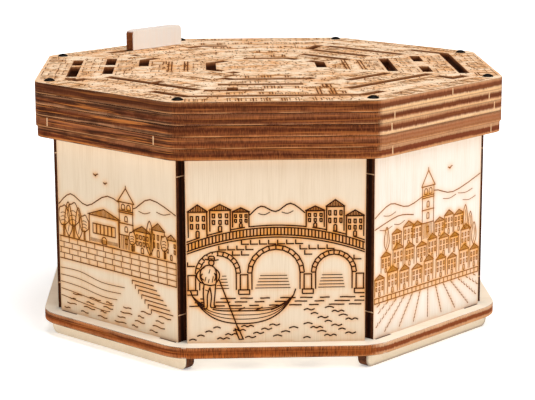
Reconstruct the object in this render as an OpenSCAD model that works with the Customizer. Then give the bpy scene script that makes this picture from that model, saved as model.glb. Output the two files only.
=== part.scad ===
// Octagonal wooden puzzle box with a maze in its lid.
//
// Eight wall panels and four feet are tabbed into a base plate. The lid is five layers of plywood,
// glued and screwed at the corners. A key in the outermost maze lane turns a cam disc inside the lid,
// and the disc drives four bolts through keepers that stand up from the walls.
// The box is drawn closed and unlocked: the bolts are drawn in, and the lid can be lifted off.
// The origin is the centre of the footprint at the floor, +Z is up and the front faces -Y.

/* [Plywood] */
// Thickness of the plywood of the walls, base, feet and lid layers
ply_t = 4; // [3.9:0.1:4.2]
// Thickness of the thinner plywood of the cam disc
cam_t = 3; // [2.5:0.1:3]

/* [Box] */
// Distance across the flats of the lid layers
lid_flats = 170; // [169:0.1:175]
// Distance across the flats of the lid's lowest layer
rim_flats = 169; // [168:0.1:174]
// Radius of the corners of the lid layers
lid_corner_r = 8; // [5:0.5:10]
// Distance across the flats of the base plate
base_flats = 168.4; // [168:0.1:174]
// Radius of the corners of the base plate
base_corner_r = 16; // [8:1:17]
// Distance across the outer faces of the walls
wall_flats = 157.9; // [157.9:0.1:160]
// Height of the wall panels above the base plate
wall_h = 65.5; // [50:0.1:90]
// Chamfer on the top corners of the wall panels
wall_chamfer = 1; // [0.5:0.1:2]
// Distance across the outer faces of two opposite feet
foot_flats = 159.4; // [158.4:0.1:161]
// Length of a foot
foot_l = 70.8; // [66:0.1:71]
// Height of a foot below the base plate
foot_h = 5.2; // [4.5:0.1:12]
// Radius of the lower corners of a foot
foot_corner_r = 3; // [1:0.1:4]
// Width across the gap of the two inner frames, measured to their inner flats
frame_inner_flats = 132; // [126:1:140]

/* [Maze] */
// Width of a maze lane
lane_w = 3.9; // [3.6:0.1:4.1]
// Distance from the centre of the lid to the middle of the outermost lane
lane_outer = 72.4; // [72:0.1:72.8]
// Distance from one lane to the next
lane_pitch = 12.85; // [12:0.05:13]

/* [Key] */
// Length of the key grip
key_l = 27.6; // [20:0.1:28]
// Height of the key grip
key_h = 8.1; // [6:0.1:14]
// Radius of the top corners of the key grip
key_corner_r = 1.8; // [0.5:0.1:3]
// Diameter of the key pin
key_pin_d = 3; // [2.6:0.1:3]
// Distance of the key from the middle of its side of the lid, when unlocked
key_offset = 11.4; // [9:0.1:12]
// Distance of the middle of the key grip from the key pin, along the lane
key_lead = 1; // [0:0.1:2]

/* [Lock] */
// Radius of the cam disc
cam_r = 68; // [64:0.5:68.5]
// Distance that each bolt travels
bolt_throw = 5; // [4.6:0.1:5.2]
// Width of a bolt
bolt_w = 14; // [12:0.5:16]
// Width of the tongue at the end of a bolt
tongue_w = 8; // [6:0.5:10]
// Diameter of a bolt pin
bolt_pin_d = 3.6; // [3:0.1:3.8]
// Distance of the bolt pins from the centre, when unlocked
bolt_pin_at = 45; // [42:0.5:48]
// Width of a keeper
keeper_w = 18; // [16:0.5:20]
// Diameter of the pivot of the cam disc
pivot_d = 6; // [5:0.1:8]

/* [Screws] */
// Diameter of a screw head
screw_head_d = 4.2; // [3:0.1:5]
// Height of a screw head
screw_head_h = 1; // [0.6:0.1:1.5]
// Diameter of a screw shank
screw_d = 2; // [1.6:0.1:2.5]
// Distance of the screws from the centre of the lid
screw_at = 86.15; // [85.5:0.05:86.5]

/* [Hidden] */

// Side names, anticlockwise from +X, one for every 45 degrees
SIDES = ["e", "ne", "n", "nw", "w", "sw", "s", "se"];
half_side = tan(22.5);

// Heights
base_top = foot_h + ply_t;
wall_top = base_top + wall_h;
lid_gap = 0.1;
lid_z = wall_top + lid_gap;
floor_z = lid_z + ply_t;
guide_z = floor_z + ply_t;
spacer_z = guide_z + ply_t;
maze_z = spacer_z + ply_t;
lid_top = maze_z + ply_t;

// Walls: square-ended panels whose inner corners just miss each other
wall_inner = wall_flats / 2 - ply_t;
corner_gap = 0.3;
wall_w = 2 * wall_inner * half_side - corner_gap;

// Tabs that join the walls and the feet to the base plate, and the frames inside the walls
wall_tab_w = 10;
wall_tab_at = 11;
foot_tab_w = 8;
foot_tab_at = 26;
foot_inner = foot_flats / 2 - ply_t;
bottom_frame_w = 6;
top_frame_drop = 8;

// Sliding clearances: between flat faces, and beside a moving piece
face_gap = 0.1;
side_gap = 0.2;

// Keepers stand against the walls and reach up into the lid
keeper_inner = wall_inner - ply_t;
keeper_below = 26;
keeper_chamfer = 2;
keeper_slot_gap = 0.5;
keeper_top = maze_z - 0.5;
window_gap = 0.4;
screw_tip = lid_z + 1.5;

// Key and cam: the key's straight run turns the cam through cam_angle
key_side = 3;
cam_angle = 2 * atan(key_offset / lane_outer);
throw_per_degree = bolt_throw / cam_angle;
cam_z = spacer_z + face_gap / 2;
cam_top = cam_z + cam_t;
cavity_r = cam_r + 1.5;
ear_w = 14;
ear_root = 10;
ear_pocket_steps = 16;
ear_r = lane_outer + 6.1;
ear_angle = 45 * key_side - cam_angle / 2;
ear_pocket_r = ear_r + 0.8;
ear_pocket_half = cam_angle / 2 + 7;
ear_slot = [lane_outer - 2.4, lane_outer + 3.3];
pin_slot_gap = 0.15;
pin_lift = 0.3;
pin_in_grip = 4;
pivot_gap = 0.08;
cap_d = 12;
washer_d = 8.4;
washer_t = 0.65;
washer_z = maze_z - washer_t - face_gap;
cap_t = maze_z - cam_top - 2 * face_gap;

// Bolts run in channels of the guide plate, and stay clear of the keepers until they are thrown
bolt_t = ply_t - 4 * face_gap;
bolt_z = guide_z + 2 * face_gap;
bolt_back = bolt_pin_at - bolt_w / 2;
bolt_shoulder = keeper_inner - 9.2;
bolt_tip = keeper_inner - 0.5;
channel_back_gap = 2;
channel_front_gap = 0.6;
channel_past_wall = 1.8;
keeper_room = 6;
spiral_overrun = 2.5;
spiral_steps = 12;

// Maze layout, anticlockwise: [lane, first side, start, last side, end], where lane 0 is the outermost
// and start and end are distances along their sides, from the middle of the side
MAZE = [
    [0, 3, -14, 3, 15], [0, 4, -20, 4, -5.6], [0, 4, -1.9, 4, 24.4], [0, 4, 26.8, 5, -24],
    [0, 5, 12.4, 7, -19], [0, 7, 19, 7, 29.5], [0, 0, -24.4, 1, -12.4],
    [1, 0, -20, 0, -5.6], [1, 0, 8.1, 0, 24], [1, 1, -19.4, 1, 20.4], [1, 2, 13.8, 3, -16.8],
    [1, 3, 10.5, 3, 14], [1, 4, -24, 4, -5.6], [1, 4, -1.3, 4, 17.8], [1, 5, -24, 5, 23],
    [1, 6, -24, 6, -3.1], [1, 7, -22.5, 7, 24.5],
    [2, 0, -17.5, 0, 17.5], [2, 1, -12, 1, 17.5], [2, 3, 12.5, 4, -1.9], [2, 6, -19, 6, 11.3],
    [2, 7, -7.5, 7, 16],
    [3, 1, -12.9, 1, 12], [3, 5, 9, 7, -11],
    [4, 0, -5.6, 1, -3], [4, 1, 2.7, 2, 8], [4, 3, 0, 5, -3], [4, 5, 1, 5, 5]
];
// Cross lanes: [side, distance along the side, start lane, end lane], with fractions of a lane.
// Half a side is a corner, where the lanes lie a little further out
CROSS_LANES = [
    [1.5, 0, 0.62, 1.7], [5, -26.5, 0, 0.4], [5, -1, 1, 1.45],
    [6, -14, 1, 1.5], [7, 21.7, 0, 0.6]
];

// Points of an arc about [x, y]
function arc(x, y, r, from, to, steps = 8) =
    [for (i = [0:steps]) let (a = from + (to - from) * i / steps) [x + r * cos(a), y + r * sin(a)]];

// Points of a regular octagon with rounded corners
function octagon(flats, r) =
    let (reach = (flats / 2 - r) / cos(22.5))
    [for (i = [0:7]) each arc(reach * cos(45 * i + 22.5), reach * sin(45 * i + 22.5), r,
        45 * i, 45 * i + 45)];

// Sharp octagon
function sharp_octagon(flats) =
    [for (i = [0:7]) flats / 2 / cos(22.5) * [cos(45 * i + 22.5), sin(45 * i + 22.5)]];

// A point of the cam slot that moves a bolt: the slot's middle line plus an offset across it
function spiral_point(turn, across) =
    let (r = bolt_pin_at + throw_per_degree * turn,
        rise = throw_per_degree * 180 / PI,
        length = norm([rise, r]),
        out = across * r / length,
        round_ = across * rise / length)
    [(r + out) * cos(turn) + round_ * sin(turn), -(r + out) * sin(turn) + round_ * cos(turn)];

// Puts a flat outline upright on a side: x along the side, y up, thickness outwards from inner
module upright(side, inner, thickness = ply_t) {
    rotate([0, 0, 45 * side])
        translate([inner, 0, 0])
            rotate([90, 0, 90])
                linear_extrude(thickness)
                    children();
}

// A rectangle on a side, between two distances from the centre and two along the side
module side_rect(side, inner, outer, from, to) {
    rotate(45 * side)
        translate([inner, from])
            square([outer - inner, to - from]);
}

// A rectangle standing on a side, centred on the middle of the side
module side_slot(side, inner, outer, width) {
    side_rect(side, inner, outer, -width / 2, width / 2);
}

// The slots for the four keepers, with room round them
module keeper_slots() {
    for (side = [0:2:6])
        side_slot(side, keeper_inner - keeper_slot_gap, wall_inner + keeper_slot_gap,
            keeper_w + 2 * keeper_slot_gap + side_gap);
}

// The holes for the corner screws
module screw_holes() {
    for (i = [0:7])
        rotate(45 * i + 22.5)
            translate([screw_at, 0])
                circle(d = screw_d, $fn = 24);
}

// One layer of the lid: an octagon less its cut-outs
module lid_layer(z, flats = lid_flats) {
    translate([0, 0, z])
        linear_extrude(ply_t)
            difference() {
                polygon(octagon(flats, lid_corner_r));
                screw_holes();
                children();
            }
}

module base_plate() {
    color("burlywood")
        translate([0, 0, foot_h])
            linear_extrude(ply_t)
                difference() {
                    polygon(octagon(base_flats, base_corner_r));
                    for (side = [0:7], at = [-wall_tab_at, wall_tab_at])
                        side_rect(side, wall_inner, wall_inner + ply_t,
                            at - wall_tab_w / 2, at + wall_tab_w / 2);
                    for (side = [1:2:7], at = [-foot_tab_at, foot_tab_at])
                        side_rect(side, foot_inner, foot_inner + ply_t,
                            at - foot_tab_w / 2, at + foot_tab_w / 2);
                }
}

module foot(side) {
    color("wheat")
        upright(side, foot_inner)
            union() {
                polygon(concat(
                    [[foot_l / 2, foot_h], [-foot_l / 2, foot_h]],
                    arc(foot_corner_r - foot_l / 2, foot_corner_r, foot_corner_r, 180, 270, 6),
                    arc(foot_l / 2 - foot_corner_r, foot_corner_r, foot_corner_r, 270, 360, 6)));
                for (at = [-foot_tab_at, foot_tab_at])
                    translate([at - foot_tab_w / 2, foot_h])
                        square([foot_tab_w, ply_t]);
            }
}

module side_panel(side) {
    color("antiquewhite")
        upright(side, wall_inner)
            union() {
                polygon([
                    [-wall_w / 2, base_top], [wall_w / 2, base_top],
                    [wall_w / 2, wall_top - wall_chamfer], [wall_w / 2 - wall_chamfer, wall_top],
                    [wall_chamfer - wall_w / 2, wall_top], [-wall_w / 2, wall_top - wall_chamfer]]);
                for (at = [-wall_tab_at, wall_tab_at])
                    translate([at - wall_tab_w / 2, foot_h])
                        square([wall_tab_w, ply_t]);
            }
}

module bottom_frame() {
    color("wheat")
        translate([0, 0, base_top])
            linear_extrude(ply_t)
                difference() {
                    polygon(sharp_octagon(2 * wall_inner));
                    polygon(sharp_octagon(2 * (wall_inner - bottom_frame_w)));
                }
}

module top_frame() {
    color("wheat")
        translate([0, 0, wall_top - top_frame_drop - ply_t])
            linear_extrude(ply_t)
                difference() {
                    polygon(sharp_octagon(2 * wall_inner));
                    polygon(sharp_octagon(frame_inner_flats));
                    for (side = [0:2:6])
                        side_slot(side, keeper_inner, wall_inner + 1, keeper_w);
                }
}

module keeper(side) {
    color("tan")
        upright(side, keeper_inner)
            difference() {
                polygon([
                    [-keeper_w / 2, wall_top - keeper_below], [keeper_w / 2, wall_top - keeper_below],
                    [keeper_w / 2, keeper_top - keeper_chamfer],
                    [keeper_w / 2 - keeper_chamfer, keeper_top],
                    [keeper_chamfer - keeper_w / 2, keeper_top],
                    [-keeper_w / 2, keeper_top - keeper_chamfer]]);
                translate([-tongue_w / 2 - window_gap, bolt_z - window_gap])
                    square([tongue_w + 2 * window_gap, bolt_t + 2 * window_gap]);
            }
}

module rim_ring() {
    color("sienna")
        lid_layer(lid_z, rim_flats) {
            polygon(sharp_octagon(frame_inner_flats));
            keeper_slots();
        }
}

module floor_plate() {
    color("peru")
        lid_layer(floor_z)
            keeper_slots();
}

module guide_plate() {
    color("sienna")
        lid_layer(guide_z) {
            keeper_slots();
            circle(d = pivot_d, $fn = 48);
            for (side = [0:2:6]) {
                side_slot(side, bolt_back - channel_back_gap,
                    bolt_shoulder + bolt_throw + channel_front_gap,
                    bolt_w + 2 * side_gap);
                side_slot(side, bolt_shoulder, wall_inner + channel_past_wall,
                    tongue_w + 2 * side_gap);
            }
        }
}

module spacer_ring() {
    color("peru")
        lid_layer(spacer_z) {
            circle(r = cavity_r, $fn = 180);
            for (side = [0:2:6])
                side_slot(side, keeper_inner - keeper_room, wall_inner + keeper_slot_gap,
                    keeper_w + 2 * keeper_slot_gap + side_gap);
            polygon(concat([[0, 0]], arc(0, 0, ear_pocket_r,
                45 * key_side - ear_pocket_half, 45 * key_side + ear_pocket_half,
                ear_pocket_steps)));
        }
}

// A point on a side, by its distance from the centre and its distance along the side
function on_side(side, out, along) =
    [out * cos(45 * side) - along * sin(45 * side), out * sin(45 * side) + along * cos(45 * side)];

// One edge of a maze lane, along a side and round every corner on its way
function lane_edge(out, first, start, last, end) = concat(
    [on_side(first, out, start)],
    [for (side = [first:1:last - 1]) on_side(side, out, out * half_side)],
    [on_side(last, out, end)]);

function reversed(list) = [for (i = [len(list) - 1:-1:0]) list[i]];

module lane_run(lane, first, start, last, end) {
    middle = lane_outer - lane * lane_pitch;
    polygon(concat(
        lane_edge(middle + lane_w / 2, first, start, last, end),
        reversed(lane_edge(middle - lane_w / 2, first, start, last, end))));
}

module maze_plate() {
    color("tan")
        lid_layer(maze_z) {
            for (run = MAZE)
                lane_run(run[0], run[1], run[2], run[3], run[4]);
            for (cross = CROSS_LANES)
                side_rect(cross[0], lane_outer - cross[3] * lane_pitch,
                    lane_outer - cross[2] * lane_pitch,
                    cross[1] - lane_w / 2, cross[1] + lane_w / 2);
        }
}

module lid_screws() {
    dome_r = (pow(screw_head_d / 2, 2) + pow(screw_head_h, 2)) / (2 * screw_head_h);
    color("dimgray")
        for (i = [0:7])
            rotate([0, 0, 45 * i + 22.5])
                translate([screw_at, 0, 0])
                    union() {
                        intersection() {
                            translate([0, 0, lid_top + screw_head_h - dome_r])
                                sphere(r = dome_r, $fn = 48);
                            translate([0, 0, lid_top])
                                cylinder(d = screw_head_d + 1, h = screw_head_h + 1, $fn = 48);
                        }
                        translate([0, 0, screw_tip])
                            cylinder(d = screw_d, h = lid_top - screw_tip, $fn = 24);
                    }
}

module cam_pivot() {
    color("wheat")
        translate([0, 0, guide_z])
            cylinder(d = pivot_d, h = cam_top + face_gap - guide_z, $fn = 48);
}

module pivot_cap() {
    color("wheat")
        translate([0, 0, cam_top + face_gap])
            cylinder(d = cap_d, h = cap_t, $fn = 48);
}

module cam_disc() {
    color("burlywood")
        translate([0, 0, cam_z])
            linear_extrude(cam_t)
                difference() {
                    union() {
                        circle(r = cam_r, $fn = 180);
                        rotate(ear_angle)
                            translate([cam_r - ear_root, -ear_w / 2])
                                square([ear_r - cam_r + ear_root, ear_w]);
                    }
                    circle(d = pivot_d + 2 * pivot_gap, $fn = 48);
                    rotate(ear_angle)
                        translate([ear_slot[0], -key_pin_d / 2 - pin_slot_gap])
                            square([ear_slot[1] - ear_slot[0], key_pin_d + 2 * pin_slot_gap]);
                    for (side = [0:2:6])
                        rotate(45 * side)
                            spiral_slot();
                }
}

// The slot in the cam that carries one bolt pin outwards as the cam turns anticlockwise
module spiral_slot() {
    half_w = bolt_pin_d / 2 + side_gap;
    first = -spiral_overrun;
    step = (cam_angle + 2 * spiral_overrun) / spiral_steps;
    polygon(concat(
        [for (i = [0:spiral_steps]) spiral_point(first + step * i, half_w)],
        [for (i = [spiral_steps:-1:0]) spiral_point(first + step * i, -half_w)]));
}

// Moves a piece of the key to its place in the lane
module at_key() {
    rotate([0, 0, 45 * key_side])
        translate([lane_outer, -key_offset, 0])
            children();
}

module key_grip() {
    color("antiquewhite")
        at_key()
            difference() {
                translate([-ply_t / 2, key_lead, lid_top + face_gap])
                    rotate([90, 0, 90])
                        linear_extrude(ply_t)
                            polygon(concat(
                                [[-key_l / 2, 0], [key_l / 2, 0]],
                                arc(key_l / 2 - key_corner_r, key_h - key_corner_r,
                                    key_corner_r, 0, 90, 6),
                                arc(key_corner_r - key_l / 2, key_h - key_corner_r,
                                    key_corner_r, 90, 180, 6)));
                translate([0, 0, lid_top])
                    cylinder(d = key_pin_d, h = pin_in_grip + face_gap, $fn = 32);
            }
}

module key_pin() {
    color("silver")
        at_key()
            translate([0, 0, cam_z + pin_lift])
                cylinder(d = key_pin_d, h = lid_top + pin_in_grip + face_gap - cam_z - pin_lift,
                    $fn = 32);
}

module key_washer() {
    color("silver")
        at_key()
            translate([0, 0, washer_z])
                difference() {
                    cylinder(d = washer_d, h = washer_t, $fn = 48);
                    translate([0, 0, -1])
                        cylinder(d = key_pin_d, h = washer_t + 2, $fn = 32);
                }
}

module bolt(side) {
    color("burlywood")
        translate([0, 0, bolt_z])
            linear_extrude(bolt_t)
                difference() {
                    union() {
                        side_slot(side, bolt_back, bolt_shoulder, bolt_w);
                        side_slot(side, bolt_shoulder - 1, bolt_tip, tongue_w);
                    }
                    rotate(45 * side)
                        translate([bolt_pin_at, 0])
                            circle(d = bolt_pin_d, $fn = 32);
                }
}

module bolt_pin(side) {
    color("wheat")
        rotate([0, 0, 45 * side])
            translate([bolt_pin_at, 0, bolt_z])
                cylinder(d = bolt_pin_d, h = cam_top - face_gap - bolt_z, $fn = 32);
}

base_plate();
bottom_frame();
top_frame();
rim_ring();
floor_plate();
guide_plate();
spacer_ring();
maze_plate();
lid_screws();
cam_pivot();
pivot_cap();
cam_disc();
key_grip();
key_pin();
key_washer();
for (side = [0:7])
    side_panel(side);
for (side = [1:2:7])
    foot(side);
for (side = [0:2:6])
    keeper(side);
for (side = [0:2:6])
    bolt(side);
for (side = [0:2:6])
    bolt_pin(side);
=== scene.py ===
"""Looks of an octagonal wooden puzzle box: engraved walls and a lid of five layers with a maze.

The engraving is drawn as strokes in millimetres and cut into the walls and the maze plate as real
grooves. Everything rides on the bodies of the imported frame.
"""

import math
import random

import bmesh
import bpy
import numpy as np
from mathutils import Matrix, Vector
from mathutils.geometry import delaunay_2d_cdt


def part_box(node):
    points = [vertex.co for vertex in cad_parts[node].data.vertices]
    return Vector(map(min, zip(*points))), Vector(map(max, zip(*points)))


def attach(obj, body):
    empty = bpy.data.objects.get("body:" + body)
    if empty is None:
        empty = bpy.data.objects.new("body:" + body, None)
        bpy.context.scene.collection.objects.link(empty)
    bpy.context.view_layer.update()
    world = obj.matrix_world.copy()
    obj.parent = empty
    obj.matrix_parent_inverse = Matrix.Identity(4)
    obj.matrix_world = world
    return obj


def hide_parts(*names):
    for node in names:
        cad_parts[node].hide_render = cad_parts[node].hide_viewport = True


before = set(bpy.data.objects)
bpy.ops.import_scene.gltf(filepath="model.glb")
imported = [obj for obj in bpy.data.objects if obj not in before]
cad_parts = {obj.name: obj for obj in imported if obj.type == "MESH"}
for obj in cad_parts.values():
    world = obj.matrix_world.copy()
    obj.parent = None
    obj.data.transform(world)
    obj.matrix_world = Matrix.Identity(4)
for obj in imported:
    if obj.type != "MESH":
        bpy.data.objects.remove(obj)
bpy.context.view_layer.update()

# ---------------------------------------------------------------- sizes, in millimetres

MM = 0.001
SIDES = ["e", "ne", "n", "nw", "w", "sw", "s", "se"]
HALF_SIDE = math.tan(math.radians(22.5))


def low(node):
    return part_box(node)[0] / MM


def high(node):
    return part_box(node)[1] / MM


PLY = high("base_plate").z - low("base_plate").z
WALL_FACE = -low("side_panel_s").y
WALL_HALF = high("side_panel_s").x
WALL_FOOT = high("base_plate").z
WALL_H = high("side_panel_s").z - WALL_FOOT
WALL_TAB_AT, WALL_TAB_HALF = 11.0, 5.0
WALL_CHAMFER = 1.0
LID_HALF = high("maze_plate").x
LID_TOP = high("maze_plate").z
LID_CORNER = 8.0
LANE_W = 3.9
LANE_OUTER = 72.4
LANE_PITCH = 12.85

# The maze, as in the CAD: lane, first side, start, last side, end
MAZE = [
    (0, 3, -14, 3, 15), (0, 4, -20, 4, -5.6), (0, 4, -1.9, 4, 24.4), (0, 4, 26.8, 5, -24),
    (0, 5, 12.4, 7, -19), (0, 7, 19, 7, 29.5), (0, 0, -24.4, 1, -12.4),
    (1, 0, -20, 0, -5.6), (1, 0, 8.1, 0, 24), (1, 1, -19.4, 1, 20.4), (1, 2, 13.8, 3, -16.8),
    (1, 3, 10.5, 3, 14), (1, 4, -24, 4, -5.6), (1, 4, -1.3, 4, 17.8), (1, 5, -24, 5, 23),
    (1, 6, -24, 6, -3.1), (1, 7, -22.5, 7, 24.5),
    (2, 0, -17.5, 0, 17.5), (2, 1, -12, 1, 17.5), (2, 3, 12.5, 4, -1.9), (2, 6, -19, 6, 11.3),
    (2, 7, -7.5, 7, 16),
    (3, 1, -12.9, 1, 12), (3, 5, 9, 7, -11),
    (4, 0, -5.6, 1, -3), (4, 1, 2.7, 2, 8), (4, 3, 0, 5, -3), (4, 5, 1, 5, 5),
]
# Cross lanes: side, distance along the side, start lane, end lane; half a side is a corner
CROSS_LANES = [
    (1.5, 0, 0.62, 1.7), (5, -26.5, 0, 0.4), (5, -1, 1, 1.45), (6, -14, 1, 1.5),
    (7, 21.7, 0, 0.6),
]

# Stubs left where the sheets were held while they were cut: sheet, side, distance along it
LID_NICKS = [
    ("maze_plate", 7, 4.5), ("spacer_ring", 7, -28), ("spacer_ring", 7, 26.5),
    ("guide_plate", 7, -29.5), ("guide_plate", 7, 29.8), ("rim_ring", 7, -28.3),
    ("rim_ring", 7, 28.8), ("floor_plate", 5, -28.5), ("floor_plate", 5, 26.5),
    ("floor_plate", 1, -27), ("guide_plate", 2, 28), ("spacer_ring", 3, -29),
]
WALL_NICK_HEIGHTS = (9.5, 58.5)

# Engraving; water is wavy below one height of a wall and calm above it
WAVY_BELOW = 9.0
GROOVE = 0.15
LINE = 0.5
THIN = 0.34
FINEST = 0.2

# How far the burn reaches beside a line, and how much a cut edge burns against a full line
NEAR_REACH = 0.35
WIDE_REACH = 0.95
CUT_EDGE_BURN = 0.45


# ---------------------------------------------------------------- outlines

def turned(x, y, degrees):
    a = math.radians(degrees)
    return x * math.cos(a) - y * math.sin(a), x * math.sin(a) + y * math.cos(a)


def on_side(side, out, along):
    return turned(out, along, 45 * side)


def arc_points(x, y, rx, ry, start, end, steps):
    angles = [math.radians(start + (end - start) * i / steps) for i in range(steps + 1)]
    return [(x + rx * math.cos(a), y + ry * math.sin(a)) for a in angles]


def octagon(half, corner, steps=8):
    """A regular octagon with rounded corners."""
    reach = (half - corner) / math.cos(math.radians(22.5))
    points = []
    for i in range(8):
        x, y = turned(reach, 0, 45 * i + 22.5)
        points += arc_points(x, y, corner, corner, 45 * i, 45 * i + 45, steps)
    return points


def lane_run(lane, first, start, last, end, grow=0.0):
    """The outline of one run of a maze lane, grown by a margin all round."""
    middle = LANE_OUTER - lane * LANE_PITCH

    def edge(out):
        points = [on_side(first, out, start - grow)]
        points += [on_side(side, out, out * HALF_SIDE) for side in range(first, last)]
        return points + [on_side(last, out, end + grow)]

    half = LANE_W / 2 + grow
    return edge(middle + half) + edge(middle - half)[::-1]


def cross_lane(side, along, start, end, grow=0.0):
    near = LANE_OUTER - end * LANE_PITCH - grow
    far = LANE_OUTER - start * LANE_PITCH + grow
    half = LANE_W / 2 + grow
    corners = [(near, -half), (far, -half), (far, half), (near, half)]
    return [on_side(side, out, along + across) for out, across in corners]


# ---------------------------------------------------------------- drawing strokes

class Drawing:
    """Engraved strokes in millimetres: lists of points, each with the width of its line."""

    def __init__(self, width=LINE, weight=1.0):
        self.width = width
        self.weight = weight
        self.strokes = []
        self.place = lambda x, y: (x, y)

    def line(self, *points, width=None):
        thickness = max(FINEST, (width or self.width) * self.weight)
        self.strokes.append(([self.place(*p) for p in points], thickness))

    def closed(self, *points, width=None):
        self.line(*points, points[0], width=width)

    def curve(self, *points, width=None, steps=4):
        """A smooth stroke through the points."""
        ends = [points[0], *points, points[-1]]
        smooth = []
        for a, b, c, d in zip(ends, ends[1:], ends[2:], ends[3:]):
            for i in range(steps):
                t = i / steps
                smooth.append(tuple(
                    0.5 * (2 * b[k] + (c[k] - a[k]) * t
                           + (2 * a[k] - 5 * b[k] + 4 * c[k] - d[k]) * t * t
                           + (3 * b[k] - a[k] - 3 * c[k] + d[k]) * t ** 3)
                    for k in (0, 1)))
        self.line(*smooth, points[-1], width=width)

    def arc(self, x, y, rx, ry=None, start=0, end=180, width=None):
        steps = max(4, int(abs(end - start) / 18))
        self.line(*arc_points(x, y, rx, ry or rx, start, end, steps), width=width)

    def rect(self, x, y, w, h, width=None):
        self.closed((x, y), (x + w, y), (x + w, y + h), (x, y + h), width=width)

    def hatch(self, x0, x1, y0, y1, count, width=None):
        """Upright lines between two heights; a height is a number or a function of x."""
        for i in range(count):
            x = x0 + (x1 - x0) * (i + 0.5) / count
            bottom = y0(x) if callable(y0) else y0
            top = y1(x) if callable(y1) else y1
            self.line((x, bottom), (x, top), width=width)

    def ticks(self, start, end, drop, count, width=None):
        """Short upright lines that hang from a sloping line."""
        for i in range(count + 1):
            x = start[0] + (end[0] - start[0]) * i / count
            y = start[1] + (end[1] - start[1]) * i / count
            self.line((x, y), (x, y - drop), width=width)

    def arched(self, x, y, w, h, width=None):
        """A round-headed window or door that stands on y, centred on x."""
        r = w / 2
        self.line((x - r, y), (x - r, y + h - r), *arc_points(x, y + h - r, r, r, 180, 0, 6)[1:-1],
                  (x + r, y + h - r), (x + r, y), (x - r, y), width=width)

    def hide(self, x0, x1, y0, y1, inside=lambda x, y: True):
        """Takes away what is drawn in a box, or in the part of it where inside is true."""
        stretch = 0.4
        kept = []
        for points, width in self.strokes:
            if (max(p[0] for p in points) < x0 or min(p[0] for p in points) > x1
                    or max(p[1] for p in points) < y0 or min(p[1] for p in points) > y1):
                kept.append((points, width))
                continue
            run = []
            for a, b in zip(points, points[1:]):
                steps = max(1, math.ceil(math.dist(a, b) / stretch))
                for i in range(steps + 1):
                    x, y = (a[k] + (b[k] - a[k]) * i / steps for k in (0, 1))
                    if x0 < x < x1 and y0 < y < y1 and inside(x, y):
                        if len(run) > 1:
                            kept.append((run, width))
                        run = []
                    elif i > 0 or not run:
                        run.append((x, y))
            if len(run) > 1:
                kept.append((run, width))
        self.strokes = kept

    def ripples(self, x, y, length, height=0.45):
        """A short wavy stroke."""
        count = max(2, int(length / 1.1))
        self.curve(*[(x + length * i / count, y + (height if i % 2 else 0.0))
                     for i in range(count + 1)])

    def windows(self, xs, y, w, h, arched=False, slope=0.0, width=None):
        """A row of windows, whose feet climb by slope for each millimetre along."""
        for x in xs:
            foot = y + slope * (x - xs[0])
            if arched:
                self.arched(x, foot, w, h, width=width)
            else:
                self.rect(x - w / 2, foot, w, h, width=width)

    def water(self, spots, width=None):
        """Short waves, calmer further off: x, y and length of each."""
        for i, (x, y, length) in enumerate(spots):
            sway = (0.25 if i % 3 else -0.2) * (1.0 if y < WAVY_BELOW else 0.2)
            self.curve((x, y), (x + length * 0.3, y + sway), (x + length * 0.7, y - sway * 0.6),
                       (x + length, y), width=width)


def spread(start, end, count):
    return [start + (end - start) * i / (count - 1) for i in range(count)]


# ---------------------------------------------------------------- the scenes on the walls

def draw_bird(d, x, y, size):
    d.curve((x - size, y + size * 0.1), (x - size * 0.4, y - size * 0.05), (x, y - size * 0.3),
            (x + size * 0.3, y + size * 0.1), (x + size, y + size * 0.25))
    d.line((x - size * 0.5, y - size * 0.2), (x + size * 0.2, y - size * 0.15))


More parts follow.
